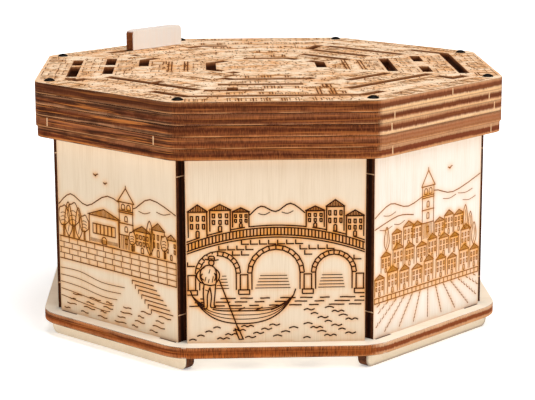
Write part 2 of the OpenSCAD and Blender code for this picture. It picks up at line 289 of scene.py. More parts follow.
def draw_rower(d, x, y):
    """A small rower in a broad hat, who stands and leans on the oar with both arms."""
    def at(*points):
        return [(x + px, y + py) for px, py in points]

    for px, py, rx, ry in ((0.0, 11.6, 3.9, 4.2), (0.9, 17.2, 2.3, 1.7), (-0.1, 4.4, 2.1, 5.0)):
        d.hide(x + px - rx, x + px + rx, y + py - ry, y + py + ry,
               lambda u, v: math.hypot((u - x - px) / rx, (v - y - py) / ry) < 1)
    # legs, apart
    d.curve(*at((-1.9, 8.7), (-2.2, 5.0), (-2.0, 1.2), (-2.8, 0.1), (-1.0, 0.1), (-0.8, 4.4),
                (0.1, 7.5)))
    d.curve(*at((0.1, 7.5), (0.6, 4.2), (0.3, 0.5), (1.9, 0.4), (1.5, 1.3), (1.8, 4.8),
                (2.1, 8.4)))
    d.line(*at((-1.5, 6.6), (-0.6, 6.2)), width=THIN)
    # jacket, bent forward
    d.curve(*at((-1.9, 8.6), (-3.1, 10.8), (-3.0, 13.3), (-1.6, 15.0), (0.4, 15.3), (2.0, 14.0),
                (2.5, 11.0), (2.1, 8.4)))
    d.line(*at((-1.9, 8.6), (0.2, 8.1), (2.1, 8.4)))
    for px, py, tall in ((-1.6, 9.6, 1.6), (-0.5, 9.0, 1.4), (0.9, 9.2, 2.2), (-0.2, 12.4, 1.5)):
        d.line(*at((px, py), (px + 0.4, py + tall)), width=THIN)
    # arms
    d.curve(*at((-1.6, 14.7), (-3.9, 13.0), (-4.4, 11.2), (-3.2, 9.4), (-2.3, 9.0)))
    d.curve(*at((-2.4, 12.4), (-3.0, 11.2), (-2.0, 10.0)))
    d.curve(*at((1.9, 14.2), (3.3, 12.6), (3.3, 10.6), (2.4, 9.2)))
    d.curve(*at((1.7, 12.6), (2.2, 11.2), (1.7, 9.8)))
    # head and hat
    d.arc(x + 0.7, y + 16.2, 0.9, 1.0, 0, 360)
    d.curve(*at((-1.6, 17.5), (0.4, 17.1), (1.6, 17.0), (3.2, 17.3)))
    d.curve(*at((-0.4, 17.3), (-0.1, 18.4), (1.5, 18.4), (1.8, 17.1)))
    d.line(*at((-0.2, 17.7), (1.6, 17.6)), width=THIN)


def draw_boat(d, x, y, half):
    """A plain double-ended rowing boat centred on x, whose rim is lowest at y."""
    sweep, depth = 5.5, 4.6

    def edge(u, sag):
        t = (u - x) / half
        return y + sag * (1 - t * t) + sweep * t ** 4

    d.hide(x - half, x + half, y - depth, y + sweep,
           lambda u, v: edge(u, -depth) < v < edge(u, 0.9))
    for sag, width in ((0.9, THIN), (0.0, LINE), (-1.5, THIN), (-3.0, THIN), (-depth, LINE)):
        d.curve(*[(u, edge(u, sag)) for u in spread(x - half, x + half, 17)], steps=2, width=width)
    for side in (-1, 1):
        d.line((x + side * half, y + sweep), (x + side * (half + 0.7), y + sweep + 2.2))
    for share in (-0.1, 0.25, 0.55):
        d.line((x + half * share, y + 0.2), (x + half * share + 2.4, y + 1.2))


def scene_bridge(d):
    """A stone bridge of three round arches, with houses behind and a rower in front."""
    spring = 25.0
    ring = 1.5
    arches = ((-20.0, 6.3), (0.0, 8.3), (20.0, 6.3))

    def deck(x):
        return 37.6 - 0.006 * x * x

    def masonry(x, y):
        """Whether a stone may stand here, clear of the arches and of the parapet."""
        gap = min(math.hypot(x - cx, max(0.0, y - spring)) - r for cx, r in arches)
        return gap > ring + 0.3 and y < deck(x) - 1.5

    for cx, r in arches:
        d.arc(cx, spring, r)
        d.arc(cx, spring, r + ring)
        for angle in range(0, 181, 15):
            inner, outer = turned(r, 0, angle), turned(r + ring, 0, angle)
            d.line((cx + inner[0], spring + inner[1]), (cx + outer[0], spring + outer[1]))
        for side in (-1, 1):
            d.line((cx + side * r, spring), (cx + side * r, 19.0))
        for i in range(5):
            reach = r * (0.86 - 0.05 * i)
            d.line((cx - reach, 19.6 + 1.1 * i), (cx + reach * 0.7, 19.6 + 1.1 * i), width=THIN)
    for x in (-29.0, -11.0, 11.0, 29.0):
        d.rect(x - 1.9, 17.4, 3.8, 1.6)
        d.rect(x - 1.3, 19.0, 2.6, 5.4)
    for row in range(9):
        y = 20.0 + 1.9 * row
        for column in range(20):
            x = -30.4 + 3.1 * column + 1.5 * (row % 2)
            if masonry(x, y) and masonry(x + 2.6, y) and x < 28:
                d.line((x, y + 1.5), (x, y), (x + 2.6, y))
    across = spread(-30.8, 30.8, 17)
    for lift in (0.0, 0.8, 3.4, 4.2):
        d.curve(*[(x, deck(x) + lift) for x in across])
    d.hatch(-30.6, 30.6, lambda x: deck(x) + 0.8, lambda x: deck(x) + 3.4, 52)
    for x, w, h in ((-30.0, 6.4, 9.0), (-22.6, 7.0, 7.4), (-14.8, 5.6, 5.4), (10.4, 6.2, 5.8),
                    (17.4, 6.0, 8.6), (24.2, 6.0, 7.2)):
        draw_house(d, x, deck(x + w / 2) + 4.4, w, h, 2, 3)
    draw_hills(d, [(-9, 45.4), (-5, 48.5), (0, 46.6), (5, 49.4), (10, 46)],
               [(-6, 46.0, 4), (2, 46.4, 4)])
    # water, a boat and its rower
    d.water([(-30 + 6.9 * (i % 9) + 1.9 * (i // 9), 13.4 + 1.3 * (i // 9), 3.4 + (i * 5 % 3))
             for i in range(27)])
    draw_boat(d, -11.4, 11.5, 17.5)
    draw_rower(d, -22.9, 12.6)
    d.line((-19.6, 22.8), (-13.0, 4.6))
    d.line((-13.3, 5.8), (-11.4, 1.3), (-12.8, 1.2), (-14.3, 5.3))
    for i in range(16):
        d.ripples(9.4 + 7.3 * i % 17.0, 1.4 + 0.72 * i, 2.6 + (i * 3 % 4) * 0.6)
    for i in range(15):
        d.ripples(-30.2 + 9.7 * i % 36.0, 1.1 + 0.36 * i, 2.6 + (i * 3 % 4) * 0.6)


def scene_chapel(d):
    """A chapel with a bell tower among trees, above a walled river bank."""
    draw_hills(d, [(-31, 40), (-24, 45), (-15, 42), (-4, 47), (8, 44), (18, 49), (31, 45)],
               [(-27, 40, 6), (12, 44, 6), (21, 45, 7)])
    draw_tower(d, 2.0, 29, 7.0, 17)
    draw_house(d, -14.0, 29, 15.6, 10.0, 1, 6)
    d.hatch(-13.6, 1.2, 29.3, 30.6, 24, width=THIN)
    draw_house(d, 9.6, 29, 8.0, 7.6, 2, 4)
    draw_house(d, 18.4, 29, 6.4, 9.4, 2, 3)
    draw_house(d, 25.4, 29, 5.4, 7.0, 2, 2)
    for x, w, h in ((-28.0, 5.6, 11.0), (-22.6, 6.4, 12.6), (-16.8, 5.0, 9.0), (8.6, 3.6, 7.0),
                    (24.8, 3.6, 8.0)):
        draw_tree(d, x, 28.8, w, h)
    for x, h in ((-25.4, 13.0), (-19.8, 11.6), (17.4, 12.4)):
        draw_cypress(d, x, 28.8, h)
    # the bank: a wall of coursed stone, and steps down to a landing
    for i in range(5):
        y = 28.6 - 2.1 * i
        d.line((-31, y), (31, y - 0.4), width=LINE if i in (0, 4) else THIN)
        if i < 4:
            d.ticks((-30 + 1.7 * (i % 2), y), (30.4, y - 0.4), 2.0, 13, width=THIN)
    for i in range(7):
        d.line((8.0 + 1.6 * i, 18.4 - 1.5 * i), (19.0 + 1.6 * i, 18.2 - 1.5 * i))
        d.line((8.0 + 1.6 * i, 18.4 - 1.5 * i), (8.0 + 1.6 * i, 16.9 - 1.5 * i))
    for i in range(5):
        d.curve((-31, 16.4 - 2.6 * i), (-20, 16.6 - 2.9 * i), (-8, 14.6 - 2.6 * i),
                (4 - 2 * i, 14.8 - 2.6 * i), width=THIN)
    d.water([(-29 + 9.1 * (i % 6) + 1.6 * (i // 6), 1.6 + 2.0 * (i // 6), 3.2 + (i * 5 % 4))
             for i in range(24)])
    draw_bird(d, -10, 54, 1.4)
    draw_bird(d, -5, 51.5, 1.0)


def scene_hill_town(d):
    """A town on a hill round a bell tower, with hills behind and rows of vines in front."""
    draw_hills(d, [(-31, 43), (-22, 47), (-12, 44.6), (2, 48), (14, 45.6), (31, 50)],
               [(-26, 43.4, 7), (8, 44, 8), (17, 44.6, 9), (20, 41.6, 8)])
    draw_hills(d, [(-31, 39), (-18, 42), (-9, 41)], [(-28, 38.6, 7), (-20, 39.4, 6)])
    draw_tower(d, -4.0, 31, 6.6, 19)
    rows = ((30.5, 7.6, (-21.0, -14.6, -9.4, 3.4, 9.2, 15.0)),
            (23.0, 8.0, (-27.0, -20.4, -13.6, -7.0, -0.4, 6.2, 12.8, 19.4)),
            (15.0, 8.4, (-30.4, -23.4, -16.4, -9.4, -2.4, 4.6, 11.6, 18.6, 25.2)))
    for foot, tall, places in rows:
        for i, x in enumerate(places):
            w = 5.2 + 0.5 * (i * 3 % 2)
            draw_house(d, x, foot, w, tall * (0.72 + 0.09 * (i * 5 % 3)), 2, 3)
    for x, foot, h in ((-24.0, 30.6, 8.4), (21.8, 30.4, 9.0), (25.0, 29.4, 7.0), (27.4, 23.4, 8.6)):
        draw_cypress(d, x, foot, h)
    d.line((-31, 14.4), (31, 14.4))
    d.line((-31, 12.6), (31, 12.6))
    d.ticks((-30.4, 14.4), (30.4, 14.4), 1.8, 26)
    # vines, in rows that fan out towards the front
    for i in range(13):
        far, near = -27.6 + 4.6 * i, -50.4 + 8.4 * i
        for k in range(9):
            share, after = k / 9, (k + 0.6) / 9
            ends = [(far + (near - far) * s, 12.0 - 11.0 * s) for s in (share, after)]
            if max(abs(px) for px, _ in ends) < 30.6:
                d.line(*ends)
                d.line(ends[0], (ends[0][0], ends[0][1] + 0.9), width=THIN)
    draw_bird(d, 12, 55, 1.4)


def draw_hills(d, points, furrows):
    """A line of hills with a few furrows under it."""
    d.curve(*points)
    for x, y, length in furrows:
        d.curve((x, y), (x + length * 0.5, y - 0.5), (x + length, y + 0.4), width=THIN)


def draw_tree(d, x, y, w, h):
    """A broad tree with a trunk."""
    d.hide(x - w / 2, x + w / 2, y + h * 0.32, y + h,
           lambda u, v: math.hypot((u - x) / (w / 2), (v - y - h * 0.66) / (h * 0.34)) < 1)
    d.line((x - w * 0.06, y), (x - w * 0.05, y + h * 0.4))
    d.line((x + w * 0.06, y), (x + w * 0.05, y + h * 0.4))
    crown = arc_points(x, y + h * 0.66, w / 2, h * 0.34, -90, 270, 11)
    d.curve(*[(px, py + (0.06 * h if i % 2 else 0)) for i, (px, py) in enumerate(crown)])
    for i in range(3):
        d.curve((x - w * 0.3, y + h * (0.5 + 0.13 * i)), (x, y + h * (0.54 + 0.13 * i)),
                (x + w * 0.25, y + h * (0.49 + 0.13 * i)), width=THIN)


def draw_cypress(d, x, y, h):
    """A tall narrow tree."""
    w = h * 0.16
    d.curve((x, y), (x - w, y + h * 0.3), (x - w * 0.7, y + h * 0.75), (x, y + h),
            (x + w * 0.7, y + h * 0.75), (x + w, y + h * 0.3), (x, y))
    d.curve((x - w * 0.2, y + h * 0.15), (x + w * 0.3, y + h * 0.5), (x, y + h * 0.8), width=THIN)


def draw_house(d, x, y, w, h, rows, columns):
    """A house with a pitched roof, rows of windows and a door."""
    def roof(px):
        return y + h + h * 0.28 * (1 - abs(px - x - w / 2) / (w * 0.56))

    d.hide(x, x + w, y, y + h * 1.28, lambda px, py: py < roof(px))
    d.line((x, y), (x, y + h), (x + w, y + h), (x + w, y))
    d.line((x - w * 0.06, y + h), (x + w / 2, y + h * 1.28), (x + w * 1.06, y + h))
    d.hatch(x + w * 0.1, x + w * 0.9, y + h, roof, columns * 3, width=THIN)
    for row in range(rows):
        foot = y + h * (0.34 + 0.62 * row / rows)
        d.windows(spread(x + w * 0.18, x + w * 0.82, columns), foot, w * 0.12, h * 0.36 / rows)
    d.arched(x + w / 2, y, w * 0.16, h * 0.26)


def draw_tower(d, x, y, w, h):
    """A bell tower with string courses, a belfry and a pointed roof."""
    d.hide(x, x + w, y, y + h)
    d.line((x, y), (x, y + h), (x + w, y + h), (x + w, y))
    for share in (0.3, 0.55, 0.78, 0.82):
        d.line((x - w * 0.05, y + h * share), (x + w * 1.05, y + h * share))
    for share in (0.12, 0.38, 0.6):
        d.arched(x + w / 2, y + h * share, w * 0.2, h * 0.11)
    d.windows([x + w * 0.3, x + w * 0.7], y + h * 0.85, w * 0.26, h * 0.11, arched=True)
    d.line((x - w * 0.1, y + h), (x + w / 2, y + h * 1.3), (x + w * 1.1, y + h),
           (x - w * 0.1, y + h))
    d.line((x + w / 2, y + h * 1.3), (x + w / 2, y + h * 1.36))
    d.hatch(x + w * 0.1, x + w * 0.9, y, y + h * 0.29, 7, width=THIN)


def scene_harbour(d):
    """A lighthouse on a rock, with sailing boats."""
    draw_tower(d, -16, 22, 8, 22)
    d.curve((-27, 18), (-22, 22), (-14, 22.4), (-6, 22), (-1, 19), (2, 17))
    d.curve((-25, 17), (-18, 19.6), (-12, 18), (-5, 19), width=THIN)
    draw_house(d, -5, 20, 8, 6, 1, 3)
    draw_hills(d, [(3, 26), (10, 31), (17, 29), (24, 34), (30.8, 32)],
               [(8, 28, 5), (14, 26, 6), (21, 30, 6), (24, 27, 5)])
    d.line((4, 25), (30.8, 25))
    for x, size in ((8, 1.0), (20, 1.3)):
        d.curve((x - 5 * size, 15), (x - 3 * size, 12), (x + 3 * size, 12), (x + 5 * size, 15.5),
                (x - 5 * size, 15))
        d.line((x, 15), (x, 15 + 12 * size))
        d.curve((x, 15 + 12 * size), (x + 3.4 * size, 15 + 6 * size), (x + 4 * size, 16.4),
                (x, 16.2))
        d.curve((x, 15 + 10 * size), (x - 2.6 * size, 15 + 5 * size), (x - 3 * size, 16.2),
                (x, 16))
    d.water([(-29 + 7.3 * (i % 8) + (i // 8) * 1.7, 1.6 + 1.9 * (i // 8), 3 + (i * 7 % 4))
             for i in range(40)])
    draw_bird(d, 10, 52, 1.5)
    draw_bird(d, 15, 49, 1.1)


def scene_aqueduct(d):
    """A long aqueduct of two tiers of arches, with cypresses."""
    draw_hills(d, [(-31, 46), (-20, 51), (-8, 47), (4, 52), (16, 48), (31, 53)],
               [(-26, 45, 8), (-12, 44, 7), (2, 47, 8), (14, 44, 8)])
    for foot, top, count in ((20, 30, 8), (32, 39, 12)):
        for x in spread(-31 + 31 / count, 31 - 31 / count, count):
            w = 62 / count * 0.72
            d.arched(x, foot, w, top - foot)
            d.arched(x, foot, w * 0.8, (top - foot) * 0.92, width=THIN)
        d.line((-31, top + 1), (31, top + 1))
        d.line((-31, top + 1.9), (31, top + 1.9))
    d.ticks((-31, 40.9), (31, 40.9), 0.9, 46, width=THIN)
    d.line((-31, 20), (31, 20))
    for x, h in ((-26, 15), (-22.5, 19), (-19, 13), (21, 18), (25, 14)):
        draw_cypress(d, x, 6, h)
    d.curve((-31, 8), (-12, 5), (4, 9), (18, 6), (31, 8))
    d.curve((-16, 19), (-8, 14), (2, 11), (8, 6), (6, 1))
    d.curve((-10, 19), (-2, 14), (8, 12), (15, 6), (14, 1))
    for i in range(16):
        d.line((-29 + 3.7 * i, 3 + (i * 5 % 7) * 0.5), (-27.6 + 3.7 * i, 3.3 + (i * 5 % 7) * 0.5))


def scene_square(d):
    """A market square with a bell tower and gabled houses."""
    draw_tower(d, -5, 18, 9, 28)
    draw_house(d, -29, 18, 11, 15, 2, 3)
    draw_house(d, -16.6, 18, 10, 12, 2, 3)
    draw_house(d, 6, 18, 10, 14, 2, 3)
    draw_house(d, 18.4, 18, 11, 17, 3, 3)
    d.line((-31, 18), (31, 18))
    for i in range(7):
        y = 16.4 - 2.3 * i
        d.line((-31, y), (31, y - 0.2), width=THIN)
        d.ticks((-30 + (i % 2) * 2.2, y), (30.4, y), 2.2, 14 - i % 2, width=THIN)
    draw_tree(d, 11, 12, 8, 12)
    draw_bird(d, -20, 52, 1.4)
    d.curve((-30, 48), (-24, 50), (-18, 47.6), (-12, 49))
    d.curve((12, 56), (18, 58), (24, 55.6), (30, 57))


def scene_windmill(d):
    """A windmill on a hill over fields."""
    d.line((-10, 20), (-7.6, 38), (1.6, 38), (4, 20))
    d.curve((-7.6, 38), (-6.6, 42), (-3, 43.6), (0.6, 42), (1.6, 38))
    d.line((-8.6, 30), (2.6, 30))
    d.line((-8.2, 33), (2.2, 33), width=THIN)
    d.arched(-3, 20, 2.6, 5.4)
    d.windows([-3], 26, 1.6, 2.2, arched=True)
    d.windows([-3], 34.4, 1.5, 2, arched=True)
    for i in range(4):
        a = 28 + 90 * i
        reach, side = turned(17, 0, a), turned(0, 2.6, a)
        near = turned(4, 0, a)
        d.line((-3, 40.6), (-3 + reach[0], 40.6 + reach[1]))
        d.line((-3 + near[0], 40.6 + near[1]), (-3 + near[0] + side[0], 40.6 + near[1] + side[1]),
               (-3 + reach[0] + side[0], 40.6 + reach[1] + side[1]),
               (-3 + reach[0], 40.6 + reach[1]))
        for k in range(1, 9):
            p = turned(4 + 13 * k / 9, 0, a)
            d.line((-3 + p[0], 40.6 + p[1]), (-3 + p[0] + side[0], 40.6 + p[1] + side[1]),
                   width=THIN)
    d.arc(-3, 40.6, 0.8, 0.8, 0, 360)
    draw_hills(d, [(-31, 14), (-20, 18), (-8, 20.6), (4, 20.4), (16, 17), (31, 15)],
               [(-22, 15, 7), (-10, 17, 7), (6, 17, 6), (16, 13.6, 8)])
    draw_house(d, 12, 16.6, 9, 7, 1, 3)
    draw_tree(d, -23, 16, 8, 13)
    draw_tree(d, 26, 15, 7, 11)
    for i in range(9):
        d.curve((-31, 12 - 1.4 * i), (-12, 13 - 1.5 * i), (8, 11.6 - 1.2 * i), (31, 12.4 - 1.4 * i),
                width=THIN)


def scene_castle(d):
    """A castle on a hill over a river."""
    for x, w, h in ((-20, 7, 18), (-6, 9, 25), (10, 7, 17)):
        d.line((x, 24), (x, 24 + h), (x + w, 24 + h), (x + w, 24))
        d.line((x - 0.6, 24 + h), (x - 0.6, 26 + h))
        for k in range(4):
            cell = (w + 1.2) / 7
            left = x - 0.6 + 2 * k * cell
            d.rect(left, 24 + h, cell, 1.8)
        d.line((x - 0.6, 24 + h), (x + w + 0.6, 24 + h))
        d.windows([x + w * 0.3, x + w * 0.7], 24 + h * 0.62, 1.1, 2.4, arched=True)
        d.windows([x + w * 0.5], 24 + h * 0.3, 1.1, 2.4, arched=True)
        d.hatch(x + w * 0.72, x + w * 0.97, 24.4, 23.6 + h, 3, width=THIN)
    for x0, x1, y in ((-13, -6, 34), (3, 10, 33)):
        d.line((x0, y), (x1, y))
        d.ticks((x0 + 0.5, y + 1.4), (x1 - 0.5, y + 1.4), 1.4, 6)
        d.windows(spread(x0 + 1.4, x1 - 1.4, 3), 28, 0.9, 2.6, arched=True)
    d.line((-1.5, 49), (-1.5, 54), (3, 52.4), (-1.5, 51))
    d.arched(-1.5, 24, 4, 6)
    d.hatch(-3, 0, 24.2, 28.4, 5, width=THIN)
    draw_hills(d, [(-31, 18), (-24, 22), (-14, 24), (6, 24), (20, 23), (31, 17)],
               [(-26, 18, 6), (-16, 20.6, 8), (2, 21, 7), (14, 20, 8), (-6, 18, 8), (20, 16, 6)])
    for x in spread(-28, 28, 9):
        draw_tree(d, x, 12 + (abs(x) * 0.04), 5, 6.6)
    d.line((-31, 10.6), (31, 10.2))
    d.water([(-30 + 8.1 * (i % 7) + (i // 7) * 2.1, 1.4 + 2.0 * (i // 7), 3.5 + (i * 5 % 4))
             for i in range(30)])
    draw_bird(d, 20, 51, 1.4)


WALL_SCENES = {
    "s": scene_bridge, "sw": scene_chapel, "se": scene_hill_town, "e": scene_harbour,
    "ne": scene_aqueduct, "n": scene_square, "nw": scene_windmill, "w": scene_castle,
}


# ---------------------------------------------------------------- the engraving on the maze plate

def draw_facade(d, rng, x, w, h):
    """A house front between x and x + w, h high."""
    d.line((x, 0.2), (x, h), (x + w, h), (x + w, 0.2))
    if rng.random() < 0.5:
        d.line((x - 0.2, h), (x + w / 2, h * 1.2), (x + w + 0.2, h))
    columns = max(1, int(w / 1.5))
    for row in range(2):
        foot = h * (0.16 + 0.42 * row)
        for i in range(columns):
            px = x + w * (i + 0.5) / columns
            d.line((px, foot), (px, foot + h * rng.uniform(0.2, 0.3)), width=0.5)


def draw_portico(d, x, w, h):
    """A row of double columns under a heavy beam."""
    for px in spread(x + 0.6, x + w - 1.4, max(2, int(w / 3.4))):
        for step in (0.0, 1.0):
            d.line((px + step, 0.4), (px + step, h), width=0.42)
    for y in (h, h + 0.9):
        d.line((x, y), (x + w, y), width=0.42)
    d.line((x, 0.5), (x + w, 0.5))


def draw_arch(d, x, w, h):
    """A gateway under a round roof."""
    d.arc(x + w / 2, h * 0.5, w * 0.42, h * 0.4)
    d.line((x + w * 0.08, 0.2), (x + w * 0.08, h * 0.5), (x + w * 0.92, h * 0.5),
           (x + w * 0.92, 0.2))
    d.line((x + w / 2, h * 0.9), (x + w / 2, h * 1.15))
    d.hatch(x + w * 0.2, x + w * 0.8, 0.8, h * 0.4, 3, width=0.42)


def draw_paving(d, rng, x, w, depth):
    """Courses of paving stones with dark joints."""
    rows = max(2, int(depth / 2.1))
    for row in range(rows):
        y = 0.5 + row * (depth - 1.6) / (rows - 1)
        px = x + rng.uniform(0.0, 1.6)
        while px < x + w - 0.8:
            length = min(rng.uniform(1.8, 4.0), x + w - px)
            if rng.random() < 0.8:
                d.line((px, y), (px + length, y))
            if rng.random() < 0.8:
                d.line((px, y), (px, y + 1.5), width=0.5)
            px += length + rng.uniform(0.2, 0.8)


def town_band(d, rng, half, depth):
    """Little buildings and paving along one side of a band between two lanes."""
    x = -half
    while x < half - 1.6:
        kind = rng.random()
        w = min(rng.uniform(4.0, 9.0) if kind > 0.55 else rng.uniform(2.8, 5.6), half - x)
        h = depth * rng.uniform(0.6, 0.8)
        if kind < 0.42:
            draw_facade(d, rng, x, w, h)
        elif kind < 0.55:
            draw_arch(d, x, w, h)
        elif kind < 0.68:
            draw_portico(d, x, w, h)
        else:
            draw_paving(d, rng, x, w, depth)
        x += w + rng.uniform(0.1, 0.6)


def draw_maze_top():
    """A ring of little towns in each band between the lanes, and paving in the middle."""
    d = Drawing(width=0.3)
    rng = random.Random(5)
    gap = 0.7
    bands = []
    for lane in range(-1, 4):
        outer = LID_HALF - 0.8 if lane < 0 else LANE_OUTER - lane * LANE_PITCH - LANE_W / 2 - gap
        inner = LANE_OUTER - (lane + 1) * LANE_PITCH + LANE_W / 2 + gap
        bands.append((inner, outer))
    for inner, outer in bands:
        for side in range(8):
            # buildings stand on the outer edge of their band and point inwards
            d.place = lambda x, y, s=side, r=outer: on_side(s, r - y, x)
            town_band(d, rng, inner * HALF_SIDE - 0.6, outer - inner)
    # dashes strewn over the bands, upright as seen from the front
    d.place = lambda x, y: (x, y)
    for _ in range(1300):
        side = rng.randrange(8)
        out = rng.uniform(22, LID_HALF - 3)
        along = rng.uniform(-out * HALF_SIDE, out * HALF_SIDE)
        x, y = on_side(side, out, along)
        if rng.random() < 0.6:
            d.line((x, y), (x, y + rng.uniform(0.8, 2.4)), width=rng.uniform(0.3, 0.5))
        else:
            d.line((x, y), (x + rng.uniform(0.8, 2.6), y))
    # two gateways on the front side, and columns on the right and the left
    for x0, x1, foot, top in ((12.6, 23.0, -72.0, -57.0), (15.4, 22.4, -55.4, -47.0)):
        for y in (top, top + 1.6):
            d.line((x0, y), (x1, y), width=0.5)
        for x in (x0 + 2.6, x0 + 3.8, x1 - 2.8, x1 - 1.6):
            d.line((x, foot), (x, top), width=0.45)
        d.hatch(x0 + 1.0, x1 - 1.0, foot, foot + 3.0, 5, width=0.4)
    for x in (-37.1, -35.9, -31.1, -29.9, 29.9, 31.1, 35.9, 37.1):
        d.line((x, -12), (x, 14), width=0.45)
    # paving in the middle
    middle = LANE_OUTER - 4 * LANE_PITCH - LANE_W / 2 - gap
    y = -middle
    while y < middle:
        x = -middle
        while x < middle:
            length = rng.uniform(1.0, 2.6)
            inside = max(abs(x), abs(y), (abs(x) + abs(y)) / math.sqrt(2)) < middle - 1.6
            if inside and rng.random() < 0.8:
                dx, dy = turned(length, 0, rng.choice((0, 0, 60, 90, 120)))
                d.line((x, y), (x + dx, y + dy), width=rng.uniform(0.3, 0.45))
            x += rng.uniform(1.6, 3.4)
        y += 1.7
    return d


# ---------------------------------------------------------------- cutting strokes into a sheet

def stroke_boxes(points, width):
    """One thin box for each straight stretch of a stroke, drawn on a little at its joints."""
    boxes = []
    pairs = [(a, b) for a, b in zip(points, points[1:]) if math.dist(a, b) > 0.02]
    for i, (a, b) in enumerate(pairs):
        length = math.dist(a, b)
        ux, uy = (b[0] - a[0]) / length, (b[1] - a[1]) / length
        before = width * 0.35 if i > 0 else 0.0
        after = width * 0.35 if i < len(pairs) - 1 else 0.0
        x0, y0 = a[0] - ux * before, a[1] - uy * before
        x1, y1 = b[0] + ux * after, b[1] + uy * after
        sx, sy = -uy * width / 2, ux * width / 2
        boxes.append([(x0 - sx, y0 - sy), (x1 - sx, y1 - sy), (x1 + sx, y1 + sy),
                      (x0 + sx, y0 + sy)])
    return boxes


def signed_area(points):
    return 0.5 * sum(a[0] * b[1] - b[0] * a[1] for a, b in zip(points, points[1:] + points[:1]))


def triangulate(polygons, loose=()):
    """Triangles of the plane cut along all the polygons, with the polygons that cover each one."""
    verts, faces = [], []
    for polygon in polygons:
        ring = polygon if signed_area(polygon) > 0 else polygon[::-1]
        faces.append(list(range(len(verts), len(verts) + len(ring))))
        verts += [Vector(p) for p in ring]
    verts += [Vector(p) for p in loose]
    out = delaunay_2d_cdt(verts, [], faces, 0, 1e-4, True)
    return [tuple(v) for v in out[0]], [tuple(f) for f in out[2]], out[5]


def directed_edges(triangles):
    """Each directed edge of the triangles, with its triangle's number."""
    edges = {}
    for number, (a, b, c) in enumerate(triangles):
        edges[(a, b)] = edges[(b, c)] = edges[(c, a)] = number
    return edges


def rings(edges):
    """Closed rings of vertices, from directed edges."""
    following = {}
    for a, b in edges:
        following.setdefault(a, []).append(b)
    found = []
    while following:
        start = next(iter(following))
        ring, at = [start], following[start].pop()
        if not following[start]:
            del following[start]
        while at != start:
            ring.append(at)
            nexts = following[at]
            step = nexts.pop()
            if not nexts:
                del following[at]
            at = step
        found.append(ring)
    return found


def burn_field(strokes, edges, low_corner, high_corner, cell=0.25):
    """How scorched the sheet is round its strokes and cut edges: near them, and where they crowd."""
    margin = 4.0
    nx = int((high_corner[0] - low_corner[0] + 2 * margin) / cell) + 1
    ny = int((high_corner[1] - low_corner[1] + 2 * margin) / cell) + 1
    field = np.zeros((ny, nx))

    def sampled(a, b, weight):
        """Points a cell apart from a to b, each with its weight."""
        count = max(1, int(math.dist(a, b) / cell))
        share = (np.arange(count) + 0.5)[:, None] / count
        return np.hstack([np.array(a) + (np.array(b) - np.array(a)) * share,
                          np.full((count, 1), weight)])

    samples = [sampled(a, b, width / LINE) for points, width in strokes
               for a, b in zip(points, points[1:])]
    samples += [sampled(a, b, CUT_EDGE_BURN) for ring in edges
                for a, b in zip(ring, ring[1:] + ring[:1])]
    data = np.vstack(samples)
    ix = ((data[:, 0] - low_corner[0] + margin) / cell).astype(int).clip(0, nx - 1)
    iy = ((data[:, 1] - low_corner[1] + margin) / cell).astype(int).clip(0, ny - 1)
    np.maximum.at(field, (iy, ix), data[:, 2])

    def blurred(sigma):
        reach = int(3 * sigma / cell) + 1
        kernel = np.exp(-0.5 * (np.arange(-reach, reach + 1) * cell / sigma) ** 2)
        kernel /= kernel.sum()
        rows = np.apply_along_axis(lambda r: np.convolve(r, kernel, "same"), 1, field)
        return np.apply_along_axis(lambda r: np.convolve(r, kernel, "same"), 0, rows)

    near, wide = blurred(NEAR_REACH), blurred(WIDE_REACH)

    def at(x, y, grid):
        gx = (x - low_corner[0] + margin) / cell - 0.5
        gy = (y - low_corner[1] + margin) / cell - 0.5
        x0 = np.floor(gx).astype(int).clip(0, nx - 2)
        y0 = np.floor(gy).astype(int).clip(0, ny - 2)
        fx, fy = (gx - x0).clip(0, 1), (gy - y0).clip(0, 1)
        return ((grid[y0, x0] * (1 - fx) + grid[y0, x0 + 1] * fx) * (1 - fy)
                + (grid[y0 + 1, x0] * (1 - fx) + grid[y0 + 1, x0 + 1] * fx) * fy)

    return lambda x, y: ((at(x, y, near) * 2.3).clip(0, 1), (at(x, y, wide) * 4.2).clip(0, 1))


def new_mesh(name, verts, faces, face_materials, materials, attributes=None):
    mesh = bpy.data.meshes.new(name)
    mesh.from_pydata([tuple(v) for v in verts], [], faces)
    for material in materials:
        mesh.materials.append(material)
    mesh.polygons.foreach_set("material_index", face_materials)
    for key, values in (attributes or {}).items():
        attribute = mesh.attributes.new(key, "FLOAT", "POINT")
        attribute.data.foreach_set("value", np.asarray(values, np.float32))
    mesh.validate()
    mesh.update()
    piece = bpy.data.objects.new(name, mesh)
    bpy.context.scene.collection.objects.link(piece)
    return piece


def lowered_grooves(name, verts, groove, groove_edges, sheet_edges, place, char):
    """The floor of the grooves, and a wall wherever they meet the sheet."""
    used = sorted({i for triangle in groove for i in triangle})
    number = {old: new for new, old in enumerate(used)}
    points = [place(*verts[i], GROOVE) for i in used]
    faces = [tuple(number[i] for i in triangle) for triangle in groove]
    rim = {}
    for a, b in groove_edges:
        if (b, a) in sheet_edges:
            for i in (a, b):
                if i not in rim:
                    rim[i] = len(points)
                    points.append(place(*verts[i], 0.0))
            faces.append((number[b], number[a], rim[a], rim[b]))
    return new_mesh(name, points, faces, [0] * len(faces), [char])


